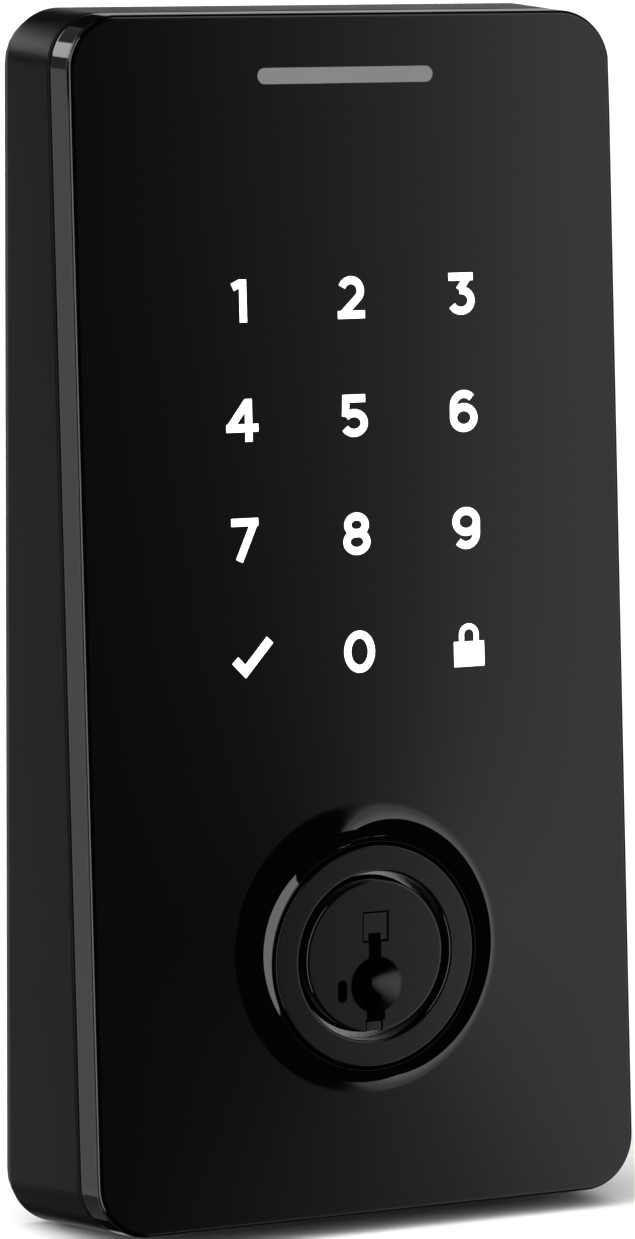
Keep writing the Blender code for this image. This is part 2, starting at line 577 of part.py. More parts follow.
def plug_inserts():
    guard = box("drill_guard", (-1.35 * MM, 1.5 * MM), (PLUG_FACE + 0.05 * MM, PLUG_FACE + 4.0 * MM),
                (1.85 * MM, 4.85 * MM))
    cut(guard, box("guard_notch", (-KEYWAY_HALF, KEYWAY_HALF), (-FAR, 0), (0, 2.6 * MM), cutters))
    finish(guard, "steel")
    finish(box("keyway_foot", (-0.9 * MM, 0.8 * MM), (PLUG_FACE + 0.05 * MM, PLUG_FACE + 3.0 * MM),
               (-8.45 * MM, -7.5 * MM)), "steel")
    clip = turned("plug_clip", [(5.35 * MM, -6.8 * MM), (8.2 * MM, -6.8 * MM), (8.2 * MM, -7.6 * MM),
                                (5.35 * MM, -7.6 * MM)])
    cut(clip, box("clip_mouth", (-4.2 * MM, 4.2 * MM), (6 * MM, 8.4 * MM), (-10 * MM, 0), cutters))
    finish(clip, "steel")
    bar = box("side_bar", (-8.35 * MM, -4.6 * MM), (-19.0 * MM, 1.0 * MM), (-1.0 * MM, 1.0 * MM))
    for number, depth in enumerate(PIN_DEPTHS, 1):
        join(bar, box(f"bar_fin_{number}", (-4.8 * MM, -3.5 * MM), (depth - 0.5 * MM, depth + 0.5 * MM),
                      (-0.45 * MM, 0.45 * MM), cutters))
    for turn in (-1, 1):
        slope = box(f"bar_slope_{turn + 2}", (-1.2 * MM, 1.2 * MM), (-21 * MM, 3 * MM), (-1.0 * MM, 1.0 * MM), cutters)
        slope.location = (-8.75 * MM, -9 * MM, turn * 1.35 * MM)
        slope.rotation_euler = (0, turn * math.radians(40), 0)
        cut(bar, slope)
    finish(bar, "brass")
    finish(box("rekey_carrier", (-4.9 * MM, -3.4 * MM), (-18.6 * MM, 0.5 * MM), (-4.9 * MM, -2.2 * MM)), "steel")


def tumbler_pin(number, depth):
    """A round pin whose rack, a flat tongue with a notch, stands on its left side."""
    bm = bmesh.new()
    bmesh.ops.create_cone(bm, cap_ends=True, segments=SMALL_ROUND, radius1=PIN_RADIUS, radius2=PIN_RADIUS,
                          depth=PIN_HIGH - PIN_LOW - 0.7 * MM)
    pin = add(f"tumbler_pin_{number}", bm, parts)
    pin.location = (0, depth, (PIN_HIGH + PIN_LOW + 0.7 * MM) / 2)
    bm = bmesh.new()
    bmesh.ops.create_cone(bm, cap_ends=True, segments=SMALL_ROUND, radius1=0.5 * MM, radius2=PIN_RADIUS,
                          depth=0.75 * MM)
    nose = add(f"pin_nose_{number}", bm, cutters)
    nose.location = (0, depth, PIN_LOW + 0.375 * MM)
    rack = box(f"pin_rack_{number}", (-3.0 * MM, -0.9 * MM), (depth - 0.9 * MM, depth + 0.9 * MM),
               (-0.5 * MM, PIN_HIGH), cutters)
    join(pin, nose, rack)
    cut(pin, box(f"rack_notch_{number}", (-3.5 * MM, -2.4 * MM), (depth - 2 * MM, depth + 2 * MM),
                 (0.6 * MM, 1.8 * MM), cutters))
    return finish(pin, "brass")


def pin_spring(number, depth):
    """A short compression spring between a pin and the top of its chamber."""
    wire = 0.15 * MM
    coil = 1.05 * MM
    turns = 4
    steps = 8
    low = PIN_HIGH + 0.2 * MM + wire
    high = CHAMBER_HIGH - 0.2 * MM - wire
    curve = bpy.data.curves.new(f"pin_spring_{number}", "CURVE")
    curve.dimensions = "3D"
    curve.bevel_depth = wire
    curve.bevel_resolution = 2
    curve.use_fill_caps = True
    curve.resolution_u = 1
    spline = curve.splines.new("POLY")
    spline.points.add(turns * steps)
    for i, point in enumerate(spline.points):
        angle = math.tau * i / steps
        rise = low + (high - low) * i / (turns * steps)
        point.co = (coil * math.cos(angle), depth + coil * math.sin(angle), rise, 1)
    made = bpy.data.objects.new(f"pin_spring_{number}", curve)
    parts.objects.link(made)
    return finish(made, "steel")


def tailpiece():
    tail = box("tailpiece", (-TAIL_HALF_WIDTH, TAIL_HALF_WIDTH), (5.3 * MM, TAIL_LENGTH),
               (-TAIL_HALF_THICK, TAIL_HALF_THICK))
    soft = tail.modifiers.new("soft_edges", "BEVEL")
    soft.width = 0.15 * MM
    soft.segments = 1
    return finish(tail, "steel")


rear_housing()
front_bezel()
touch_lens()
lens_gasket()
electronics()
rear_plate()
rear_gasket()
cable_grommet()
for index, (screw_x, screw_z) in enumerate(PLATE_SCREW_PLACES, 1):
    screw_piece(f"plate_screw_{index}", screw_x, screw_z, -1.4 * MM, -0.3 * MM, -5.9 * MM, 2.6 * MM, 0.95 * MM)
for post_side, post_x in POST_SIDES.items():
    bolt_post(post_side, post_x)
cylinder_guard()
guard_seal()
cylinder_body()
for screw_place, (screw_x, screw_z) in EAR_PLACES.items():
    screw_piece(f"cylinder_screw_{screw_place}", screw_x, screw_z, -5.1 * MM, -3.6 * MM, -10.6 * MM,
                2.6 * MM, 1.0 * MM)
key_plug()
plug_inserts()
for index, pin_depth in enumerate(PIN_DEPTHS, 1):
    tumbler_pin(index, pin_depth)
    pin_spring(index, pin_depth)
tailpiece()
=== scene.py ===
import json
import math

import bmesh
import bpy
from mathutils import Matrix, Vector

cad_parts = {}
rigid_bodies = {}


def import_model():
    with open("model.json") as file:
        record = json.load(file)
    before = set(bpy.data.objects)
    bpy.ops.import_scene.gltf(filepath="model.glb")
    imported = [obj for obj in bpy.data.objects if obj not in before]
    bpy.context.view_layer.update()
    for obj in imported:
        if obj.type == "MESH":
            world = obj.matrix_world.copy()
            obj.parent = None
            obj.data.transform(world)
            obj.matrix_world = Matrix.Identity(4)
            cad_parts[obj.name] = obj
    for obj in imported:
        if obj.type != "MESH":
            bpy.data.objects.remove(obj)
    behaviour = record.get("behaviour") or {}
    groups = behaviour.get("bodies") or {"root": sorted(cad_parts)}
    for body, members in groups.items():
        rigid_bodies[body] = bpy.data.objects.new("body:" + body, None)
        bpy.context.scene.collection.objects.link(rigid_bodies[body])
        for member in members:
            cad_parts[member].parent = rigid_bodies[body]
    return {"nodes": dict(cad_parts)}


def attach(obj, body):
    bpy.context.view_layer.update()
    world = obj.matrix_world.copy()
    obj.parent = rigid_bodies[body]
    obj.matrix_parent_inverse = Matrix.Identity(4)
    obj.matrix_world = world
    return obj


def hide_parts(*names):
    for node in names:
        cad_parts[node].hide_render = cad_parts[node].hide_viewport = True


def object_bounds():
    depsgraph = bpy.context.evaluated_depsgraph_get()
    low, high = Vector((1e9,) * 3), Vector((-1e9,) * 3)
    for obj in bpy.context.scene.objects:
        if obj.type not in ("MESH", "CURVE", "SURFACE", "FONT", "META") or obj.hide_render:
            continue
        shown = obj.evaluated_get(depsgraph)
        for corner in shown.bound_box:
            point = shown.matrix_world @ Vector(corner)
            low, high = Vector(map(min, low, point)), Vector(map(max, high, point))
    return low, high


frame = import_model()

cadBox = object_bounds()
mm = 0.001

# the case, shared by every piece of it
caseSize = {"halfWidth": 34.3 * mm, "low": -29.5 * mm, "high": 105.3 * mm, "corner": 6.2 * mm,
            "flareSide": 0.75 * mm, "flareBottom": 2.0 * mm, "flareTop": 0.55 * mm, "back": -1.3 * mm,
            "depthBottom": 23.6 * mm, "depthTop": 15.6 * mm, "wall": 2.0 * mm, "cornerSteps": 20}
slope = (caseSize["depthBottom"] - caseSize["depthTop"]) / (caseSize["high"] - caseSize["low"])
tilt = math.atan(slope)
faceAtAxis = caseSize["depthBottom"] + caseSize["low"] * slope
parts = bpy.data.collections.new("keypadLock")
tools = bpy.data.collections.new("cuttingTools")
bpy.context.scene.collection.children.link(parts)
bpy.context.scene.collection.children.link(tools)


def faceY(z):
    return -(caseSize["depthBottom"] - (z - caseSize["low"]) * slope)


faceMatrix = Matrix.Translation((0, -faceAtAxis, 0)) @ Matrix.Rotation(-tilt, 4, "X")


def arc(cx, cz, radius, start, end, steps):
    angles = [math.radians(start + (end - start) * i / steps) for i in range(steps + 1)]
    return [(cx + radius * math.cos(a), cz + radius * math.sin(a)) for a in angles]


def rounded(halfWidth, low, high, radius, steps):
    x = halfWidth - radius
    return (arc(x, low + radius, radius, -90, 0, steps) + arc(x, high - radius, radius, 0, 90, steps)
            + arc(-x, high - radius, radius, 90, 180, steps) + arc(-x, low + radius, radius, 180, 270, steps))


def caseOutline(inset):
    return rounded(caseSize["halfWidth"] - inset, caseSize["low"] + inset, caseSize["high"] - inset,
                   max(caseSize["corner"] - inset, 0.8 * mm), caseSize["cornerSteps"])


def rearOutline(inset):
    # the case is larger at the door
    low = caseSize["low"] - caseSize["flareBottom"]
    high = caseSize["high"] + caseSize["flareTop"]
    return rounded(caseSize["halfWidth"] + caseSize["flareSide"] - inset, low + inset, high - inset,
                   max(caseSize["corner"] - inset, 0.8 * mm), caseSize["cornerSteps"])


def leaningRing(inset, depth):
    # the outline at a depth behind the keypad face, on the straight flaring sides
    ring = []
    for (x, z), (rearX, rearZ) in zip(caseOutline(inset), rearOutline(inset)):
        share = depth / (-faceY(z) + caseSize["back"])
        ring.append((x + (rearX - x) * share, faceY(z) + depth, z + (rearZ - z) * share))
    return ring


def doorRing(inset, y):
    return [(x, y, z) for x, z in rearOutline(inset)]


def fillet(inset, depth, radius, start, end, steps=4):
    # (inset, depth) points round an edge; angle 0 points to larger inset, 90 to larger depth
    return arc(inset, depth, radius, start, end, steps)


def stadium(halfLength, radius, cx=0.0, cz=0.0, turn=0.0, steps=16):
    c, s = math.cos(math.radians(turn)), math.sin(math.radians(turn))
    flat = arc(halfLength, 0, radius, -90, 90, steps) + arc(-halfLength, 0, radius, 90, 270, steps)
    return [(cx + x * c - z * s, cz + x * s + z * c) for x, z in flat]


def toObject(name, bm, group=parts, sharp=32):
    bmesh.ops.remove_doubles(bm, verts=bm.verts, dist=0.0000002)
    bmesh.ops.recalc_face_normals(bm, faces=bm.faces)
    mesh = bpy.data.meshes.new(name)
    bm.to_mesh(mesh)
    bm.free()
    mesh.shade_smooth()
    mesh.set_sharp_from_angle(angle=math.radians(sharp))
    made = bpy.data.objects.new(name, mesh)
    group.objects.link(made)
    if group is tools:
        made.hide_render = True
        made.hide_viewport = True
    return made


def loft(name, rings, closed=True, group=parts, sharp=32):
    # rings of equal length joined by quads; closed joins the last ring to the first, else both get caps
    bm = bmesh.new()
    grid = [[bm.verts.new(p) for p in ring] for ring in rings]
    count = len(rings[0])
    pairs = list(zip(grid, grid[1:]))
    if closed:
        pairs.append((grid[-1], grid[0]))
    for a, b in pairs:
        for i in range(count):
            j = (i + 1) % count
            bm.faces.new((a[i], a[j], b[j], b[i]))
    if not closed:
        bm.faces.new(grid[0])
        bm.faces.new(grid[-1])
    return toObject(name, bm, group, sharp)


def prism(name, outline, front, rear, group=parts, matrix=None):
    bm = bmesh.new()
    face = bm.faces.new([bm.verts.new((x, front, z)) for x, z in outline])
    grown = bmesh.ops.extrude_face_region(bm, geom=[face])["geom"]
    moved = [g for g in grown if isinstance(g, bmesh.types.BMVert)]
    bmesh.ops.translate(bm, verts=moved, vec=(0, rear - front, 0))
    if matrix:
        bm.transform(matrix)
    return toObject(name, bm, group)


def block(name, x, y, z, group=tools, matrix=None):
    bm = bmesh.new()
    bmesh.ops.create_cube(bm, size=1.0)
    bmesh.ops.scale(bm, verts=bm.verts, vec=(x[1] - x[0], y[1] - y[0], z[1] - z[0]))
    bmesh.ops.translate(bm, verts=bm.verts, vec=((x[0] + x[1]) / 2, (y[0] + y[1]) / 2, (z[0] + z[1]) / 2))
    if matrix:
        bm.transform(matrix)
    return toObject(name, bm, group)


def turned(name, profile, steps=128, x=0.0, z=0.0, group=parts, matrix=None, sharp=32):
    # (radius, distance in front of the door) points turned about an axis along y
    bm = bmesh.new()
    rings = []
    for radius, reach in profile:
        if radius <= 0:
            rings.append([bm.verts.new((0, -reach, 0))])
        else:
            rings.append([bm.verts.new((radius * math.cos(math.tau * i / steps), -reach,
                                        radius * math.sin(math.tau * i / steps))) for i in range(steps)])
    loops = list(zip(rings, rings[1:]))
    if profile[0][0] > 0:
        loops.append((rings[-1], rings[0]))
    for a, b in loops:
        for i in range(steps):
            j = (i + 1) % steps
            corners = [a[i % len(a)], a[j % len(a)], b[j % len(b)], b[i % len(b)]]
            seen = []
            for v in corners:
                if v not in seen:
                    seen.append(v)
            if len(seen) > 2:
                bm.faces.new(seen)
    bm.transform(Matrix.Translation((x, 0, z)))
    if matrix:
        bm.transform(matrix)
    return toObject(name, bm, group, sharp)


def rod(name, radius, front, rear, x=0.0, z=0.0, steps=48, group=tools, matrix=None):
    profile = [(0, -front), (radius, -front), (radius, -rear), (0, -rear)]
    return turned(name, profile, steps, x, z, group, matrix)


def carve(target, operation, *things):
    for thing in things:
        step = target.modifiers.new(operation.lower(), "BOOLEAN")
        step.operation = operation
        step.solver = "EXACT"
        step.object = thing


def settle(target, sharp=32, bevel=0.0, segments=2):
    # the modifiers' result becomes the mesh, with its narrow edges rounded
    if bevel:
        soft = target.modifiers.new("softEdges", "BEVEL")
        soft.width = bevel
        soft.segments = segments
        soft.limit_method = "ANGLE"
        soft.angle_limit = math.radians(40)
        soft.harden_normals = True
    bpy.context.view_layer.update()
    graph = bpy.context.evaluated_depsgraph_get()
    mesh = bpy.data.meshes.new_from_object(target.evaluated_get(graph))
    target.modifiers.clear()
    target.data = mesh
    if not bevel:
        mesh.shade_smooth()
        mesh.set_sharp_from_angle(angle=math.radians(sharp))
    return target


def place(piece, look, body="escutcheon", nodes=()):
    piece.data.materials.clear()
    piece.data.materials.append(look)
    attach(piece, body)
    if nodes:
        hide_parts(*nodes)
    return piece


print("stage: helpers ready")


# shader effects shared by the materials, each a group that gives masks and heights only

def newGroup(name, inputs, outputs):
    group = bpy.data.node_groups.new(name, "ShaderNodeTree")
    for label, value in inputs:
        socket = group.interface.new_socket(label, in_out="INPUT", socket_type="NodeSocketFloat")
        socket.default_value = value
    for label in outputs:
        group.interface.new_socket(label, in_out="OUTPUT", socket_type="NodeSocketFloat")
    return group, group.nodes.new("NodeGroupInput"), group.nodes.new("NodeGroupOutput")


def mathStep(tree, operation, first, second=None, clamp=False):
    node = tree.nodes.new("ShaderNodeMath")
    node.operation = operation
    node.use_clamp = clamp
    for socket, value in zip(node.inputs, (first, second)):
        if value is None:
            continue
        if hasattr(value, "is_linked"):
            tree.links.new(value, socket)
        else:
            socket.default_value = value
    return node.outputs[0]


def makeGrain():
    # fine powder or moulding grain: small bumps plus a slower cloud
    inputs = (("Scale", 3000.0), ("Cloud Scale", 60.0))
    group, given, result = newGroup("fineGrain", inputs, ("Height", "Cloud"))
    where = group.nodes.new("ShaderNodeTexCoord")
    fine = group.nodes.new("ShaderNodeTexNoise")
    fine.inputs["Detail"].default_value = 3
    cloud = group.nodes.new("ShaderNodeTexNoise")
    cloud.inputs["Detail"].default_value = 4
    for node, label in ((fine, "Scale"), (cloud, "Cloud Scale")):
        group.links.new(where.outputs["Object"], node.inputs["Vector"])
        group.links.new(given.outputs[label], node.inputs["Scale"])
    group.links.new(fine.outputs["Fac"], result.inputs["Height"])
    group.links.new(cloud.outputs["Fac"], result.inputs["Cloud"])
    return group


def makeBrush():
    # long fine lines, as rolled or drawn metal has them
    group, given, result = newGroup("brushLines", (("Along", 40.0), ("Across", 4000.0)), ("Lines",))
    where = group.nodes.new("ShaderNodeTexCoord")
    stretch = group.nodes.new("ShaderNodeVectorMath")
    stretch.operation = "MULTIPLY"
    sizes = group.nodes.new("ShaderNodeCombineXYZ")
    group.links.new(given.outputs["Across"], sizes.inputs["X"])
    group.links.new(given.outputs["Across"], sizes.inputs["Y"])
    group.links.new(given.outputs["Along"], sizes.inputs["Z"])
    group.links.new(where.outputs["Object"], stretch.inputs[0])
    group.links.new(sizes.outputs[0], stretch.inputs[1])
    lines = group.nodes.new("ShaderNodeTexNoise")
    lines.inputs["Scale"].default_value = 1.0
    lines.inputs["Detail"].default_value = 2
    group.links.new(stretch.outputs[0], lines.inputs["Vector"])
    group.links.new(lines.outputs["Fac"], result.inputs["Lines"])
    return group


def makeLathe():
    # rings about the cylinder's axis, as turning leaves them
    group, given, result = newGroup("latheRings", (("Rings", 9000.0),), ("Rings",))
    where = group.nodes.new("ShaderNodeTexCoord")
    split = group.nodes.new("ShaderNodeSeparateXYZ")
    group.links.new(where.outputs["Object"], split.inputs[0])
    square = mathStep(group, "ADD", mathStep(group, "MULTIPLY", split.outputs["X"], split.outputs["X"]),
                      mathStep(group, "MULTIPLY", split.outputs["Z"], split.outputs["Z"]))
    radius = mathStep(group, "SQRT", square)
    point = group.nodes.new("ShaderNodeCombineXYZ")
    group.links.new(radius, point.inputs["X"])
    group.links.new(split.outputs["Y"], point.inputs["Y"])
    rings = group.nodes.new("ShaderNodeTexNoise")
    rings.inputs["Detail"].default_value = 2
    group.links.new(point.outputs[0], rings.inputs["Vector"])
    group.links.new(given.outputs["Rings"], rings.inputs["Scale"])
    group.links.new(rings.outputs["Fac"], result.inputs["Rings"])
    return group


effects = {"grain": makeGrain(), "brush": makeBrush(), "lathe": makeLathe()}


def effect(tree, name, **values):
    node = tree.nodes.new("ShaderNodeGroup")
    node.node_tree = effects[name]
    for label, value in values.items():
        node.inputs[label.replace("_", " ")].default_value = value
    return node.outputs


def newLook(name, fixed):
    look = bpy.data.materials.new(name)
    look.use_nodes = True
    tree = look.node_tree
    shader = tree.nodes["Principled BSDF"]
    for label, value in fixed.items():
        shader.inputs[label].default_value = value
    return look, tree, shader


def spread(tree, mask, low, high, target):
    # maps a mask onto a range of values and feeds a socket
    node = tree.nodes.new("ShaderNodeMapRange")
    node.inputs["From Min"].default_value = 0.3
    node.inputs["From Max"].default_value = 0.7
    node.inputs["To Min"].default_value = low
    node.inputs["To Max"].default_value = high
    tree.links.new(mask, node.inputs["Value"])
    tree.links.new(node.outputs[0], target)


def tint(tree, mask, first, second, target, low=0.3, high=0.7):
    ramp = tree.nodes.new("ShaderNodeValToRGB")
    ramp.color_ramp.elements[0].position = low
    ramp.color_ramp.elements[1].position = high
    ramp.color_ramp.elements[0].color = (*first, 1)
    ramp.color_ramp.elements[1].color = (*second, 1)
    tree.links.new(mask, ramp.inputs[0])
    tree.links.new(ramp.outputs[0], target)


def bump(tree, shader, height, distance, strength=1.0):
    node = tree.nodes.new("ShaderNodeBump")
    node.inputs["Distance"].default_value = distance
    node.inputs["Strength"].default_value = strength
    tree.links.new(height, node.inputs["Height"])
    tree.links.new(node.outputs[0], shader.inputs["Normal"])


def grainyLook(name, dark, light, rough, grainSize=2500.0, cloud=70.0, height=0.000004, **fixed):
    # painted, moulded or rubber surfaces
    look, tree, shader = newLook(name, fixed)
    grain = effect(tree, "grain", Scale=grainSize, Cloud_Scale=cloud)
    tint(tree, grain["Cloud"], dark, light, shader.inputs["Base Color"])
    spread(tree, grain["Cloud"], rough[0], rough[1], shader.inputs["Roughness"])
    bump(tree, shader, grain["Height"], height)
    return look


def metalLook(name, dark, light, rough, pattern="brush", height=0.000003, **fixed):
    look, tree, shader = newLook(name, {"Metallic": 1.0, **fixed})
    lines = effect(tree, pattern)["Lines" if pattern == "brush" else "Rings"]
    tint(tree, lines, dark, light, shader.inputs["Base Color"])
    spread(tree, lines, rough[0], rough[1], shader.inputs["Roughness"])
    bump(tree, shader, lines, height)
    return look


looks = {
    "case": grainyLook("caseBlack", (0.002, 0.002, 0.0021), (0.003, 0.003, 0.0031), (0.24, 0.30),
                       2200.0, 60.0, 0.000003, **{"Specular IOR Level": 0.05}),
    "bezel": grainyLook("bezelGloss", (0.0008, 0.0008, 0.0009), (0.0014, 0.0014, 0.0015), (0.03, 0.06),
                        1200.0, 40.0, 0.0000003),
    "lens": grainyLook("lensGloss", (0.0003, 0.0003, 0.0004), (0.0006, 0.0006, 0.0007), (0.012, 0.03),
                       700.0, 25.0, 0.0000001),
    "guard": metalLook("guardBlack", (0.0006, 0.0006, 0.0007), (0.0012, 0.0012, 0.0013), (0.015, 0.03),
                       "lathe", 0.0000001, **{"Metallic": 0.0}),
    "plug": metalLook("plugBlack", (0.0006, 0.0006, 0.0007), (0.0012, 0.0012, 0.0013), (0.015, 0.03),
                      "lathe", 0.0000001, **{"Metallic": 0.0}),
    "insert": metalLook("insertSteel", (0.001, 0.001, 0.001), (0.003, 0.003, 0.003), (0.06, 0.12), "brush",
                        0.0000003, **{"Metallic": 0.0}),
    "dish": metalLook("dishMetal", (0.016, 0.016, 0.016), (0.026, 0.026, 0.026), (0.28, 0.38),
                      "lathe", 0.000001),
    "zinc": metalLook("zincSheet", (0.42, 0.43, 0.45), (0.62, 0.63, 0.64), (0.28, 0.45), "brush"),
    "screw": metalLook("zincScrew", (0.55, 0.56, 0.57), (0.72, 0.72, 0.73), (0.2, 0.35), "lathe"),
    "brass": metalLook("brass", (0.52, 0.38, 0.16), (0.68, 0.52, 0.25), (0.2, 0.35), "lathe"),
    "rubber": grainyLook("blackRubber", (0.014, 0.014, 0.014), (0.024, 0.024, 0.024), (0.75, 0.9),
                         1500.0, 90.0, 0.00001),
    "film": grainyLook("whiteFilm", (0.72, 0.72, 0.70), (0.82, 0.82, 0.80), (0.4, 0.55), 1800.0, 50.0),
    "chip": grainyLook("mouldedBlack", (0.016, 0.016, 0.017), (0.026, 0.026, 0.027), (0.35, 0.5),
                       4000.0, 200.0),
    "nylon": grainyLook("naturalNylon", (0.66, 0.63, 0.55), (0.76, 0.73, 0.66), (0.4, 0.55), 2500.0, 120.0),
}


def boardLook():
    # green solder mask with faint copper tracks under it
    look, tree, shader = newLook("circuitBoard", {"Roughness": 0.35})
    where = tree.nodes.new("ShaderNodeTexCoord")
    tracks = tree.nodes.new("ShaderNodeTexBrick")
    tracks.inputs["Scale"].default_value = 160.0
    tracks.inputs["Mortar Size"].default_value = 0.03
    tracks.inputs["Color1"].default_value = (0.008, 0.075, 0.03, 1)
    tracks.inputs["Color2"].default_value = (0.010, 0.095, 0.04, 1)
    tracks.inputs["Mortar"].default_value = (0.03, 0.2, 0.08, 1)
    spin = tree.nodes.new("ShaderNodeVectorRotate")
    spin.rotation_type = "X_AXIS"
    spin.inputs["Angle"].default_value = math.radians(90)
    tree.links.new(where.outputs["Object"], spin.inputs["Vector"])
    tree.links.new(spin.outputs[0], tracks.inputs["Vector"])
    tree.links.new(tracks.outputs["Color"], shader.inputs["Base Color"])
    bump(tree, shader, tracks.outputs["Fac"], 0.00003)
    return look


def legendLook(name, glow, strength):
    # backlit inlay with the slight unevenness of a printed diffuser
    look, tree, shader = newLook(name, {"Roughness": 0.35, "Emission Strength": strength})
    grain = effect(tree, "grain", Scale=900.0, Cloud_Scale=120.0)
    tint(tree, grain["Cloud"], tuple(c * 0.97 for c in glow), glow, shader.inputs["Emission Color"])
    tint(tree, grain["Cloud"], tuple(c * 0.9 for c in glow), glow, shader.inputs["Base Color"])
    return look


def ledLook():
    look, tree, shader = newLook("ledPackage", {"Roughness": 0.3})
    grain = effect(tree, "grain", Scale=1500.0, Cloud_Scale=700.0)
    tint(tree, grain["Cloud"], (0.85, 0.72, 0.2), (0.92, 0.9, 0.8), shader.inputs["Base Color"])
    bump(tree, shader, grain["Height"], 0.000005)
    return look


looks["board"] = boardLook()
looks["led"] = ledLook()
looks["legend"] = legendLook("legendWhite", (1.0, 1.0, 1.0), 1.0)
looks["mark"] = legendLook("markGrey", (0.155, 0.155, 0.157), 0.0)
print("stage: materials ready")


# camera and studio

cameraView = {"yaw": 28.21, "pitch": 6.77, "roll": 0.19, "distance": 0.7383, "lens": 190.2,
              "aim": (0.0, -0.015, 0.0375), "across": -0.00245, "along": -0.00036}


def makeCamera():
    yaw, pitch, roll = (math.radians(cameraView[k]) for k in ("yaw", "pitch", "roll"))
    forward = Vector((math.sin(yaw) * math.cos(pitch), math.cos(yaw) * math.cos(pitch), -math.sin(pitch)))
    right = Vector((math.cos(yaw), -math.sin(yaw), 0))
    up = right.cross(forward)
    rolledRight = math.cos(roll) * right + math.sin(roll) * up
    rolledUp = -math.sin(roll) * right + math.cos(roll) * up
    data = bpy.data.cameras.new("photoCamera")
    data.lens = cameraView["lens"]
    data.sensor_width = 36
    data.clip_start = 0.01
    camera = bpy.data.objects.new("photoCamera", data)
    bpy.context.scene.collection.objects.link(camera)
    cameraPlace = (Vector(cameraView["aim"]) + cameraView["across"] * rolledRight
                   + cameraView["along"] * rolledUp - cameraView["distance"] * forward)
    turn = Matrix((rolledRight, rolledUp, -forward)).transposed().to_4x4()
    camera.matrix_world = Matrix.Translation(cameraPlace) @ turn
    bpy.context.scene.camera = camera


# what the gloss sees: a graded panel on the right, a bright one on the left, and soft light behind
studio = {"rightPanel": ((23.5, 0), (25.7, 0.045), (27, 0.14), (28, 0.265), (29, 0.45), (30.5, 0.92),
                         (34, 1.08), (37, 1.45), (40, 1.7), (43, 2.0), (45.6, 2.05), (46.6, 0)),
          "rightHeight": (-36.5, 60), "leftPanel": 3.4, "leftSpan": (-92, -51), "leftHeight": (-43, 55),
          "behind": 0.15, "behindSpan": (-180, -120), "behindHeight": (-80, 80),
          "backLeft": 0.47, "backLeftSpan": (-180, -125), "backLeftHeight": (-21, 1.5),
          "strip": 3.3, "stripSpan": (-180, -125), "stripHeight": (12, 25.5),
          "backRight": 0.43, "backRightSpan": (125, 180), "backRightHeight": (-25, 16), "dark": 0.004}


def span(tree, angle, limits, soft=0.8):
    # one inside the limits in degrees, nought outside, with a soft edge
    low, high = limits
    rise = mathStep(tree, "MULTIPLY", mathStep(tree, "SUBTRACT", angle, low), 1 / soft, clamp=True)
    fall = mathStep(tree, "MULTIPLY", mathStep(tree, "SUBTRACT", high, angle), 1 / soft, clamp=True)
    return mathStep(tree, "MULTIPLY", rise, fall)


def panel(tree, azimuth, height, level, across, upright, soft=0.8):
    both = mathStep(tree, "MULTIPLY", span(tree, azimuth, across, soft), span(tree, height, upright, soft))
    return mathStep(tree, "MULTIPLY", both, level)


def makeWorld():
    world = bpy.data.worlds.new("studio")
    bpy.context.scene.world = world
    world.use_nodes = True
    tree = world.node_tree
    sky = tree.nodes["Background"]
    where = tree.nodes.new("ShaderNodeTexCoord")
    split = tree.nodes.new("ShaderNodeSeparateXYZ")
    tree.links.new(where.outputs["Generated"], split.inputs[0])
    ahead = mathStep(tree, "MULTIPLY", split.outputs["Y"], -1.0)
    azimuth = mathStep(tree, "DEGREES", mathStep(tree, "ARCTAN2", split.outputs["X"], ahead))
    height = mathStep(tree, "DEGREES", mathStep(tree, "ARCSINE", split.outputs["Z"]))
    stops = studio["rightPanel"]
    first, last = stops[0][0], stops[-1][0]
    top = max(value for angle, value in stops)
    ramp = tree.nodes.new("ShaderNodeValToRGB")
    while len(ramp.color_ramp.elements) < len(stops):
        ramp.color_ramp.elements.new(0.5)
    for element, (angle, value) in zip(ramp.color_ramp.elements, stops):
        element.position = (angle - first) / (last - first)
    for element, (angle, value) in zip(ramp.color_ramp.elements, stops):
        element.color = (value / top, value / top, value / top, 1)
    along = mathStep(tree, "SUBTRACT", azimuth, first)
    tree.links.new(mathStep(tree, "DIVIDE", along, last - first, clamp=True), ramp.inputs[0])
    graded = mathStep(tree, "MULTIPLY", ramp.outputs[0], top)
    total = mathStep(tree, "MULTIPLY", graded, span(tree, height, studio["rightHeight"]))
    for name in ("left", "behind", "backLeft", "strip", "backRight"):
        level = studio["leftPanel" if name == "left" else name]
        total = mathStep(tree, "ADD", total, panel(tree, azimuth, height, level, studio[name + "Span"],
                                                   studio[name + "Height"]))
    tree.links.new(mathStep(tree, "ADD", total, studio["dark"]), sky.inputs["Color"])


def makeSun(strength, toward):
    # very soft light for the floor, from the front so that the shadow falls behind
    data = bpy.data.lights.new("overhead", "SUN")
    data.energy = strength
    data.angle = math.radians(100)
    lamp = bpy.data.objects.new("overhead", data)
    bpy.context.scene.collection.objects.link(lamp)
    lamp.rotation_euler = (-Vector(toward)).to_track_quat("-Z", "Y").to_euler()
    lamp.visible_glossy = False


def makeFloor():
    look = grainyLook("studioFloor", (0.90, 0.90, 0.90), (0.92, 0.92, 0.92), (0.8, 0.9), 300.0, 3.0, 0.00001)
    bm = bmesh.new()
    bmesh.ops.create_grid(bm, x_segments=2, y_segments=2, size=15.0)
    floor = toObject("studioFloor", bm)
    floor.location.z = cadBox[0][2] - 0.0003
    floor.data.materials.append(look)
    floor.visible_glossy = False


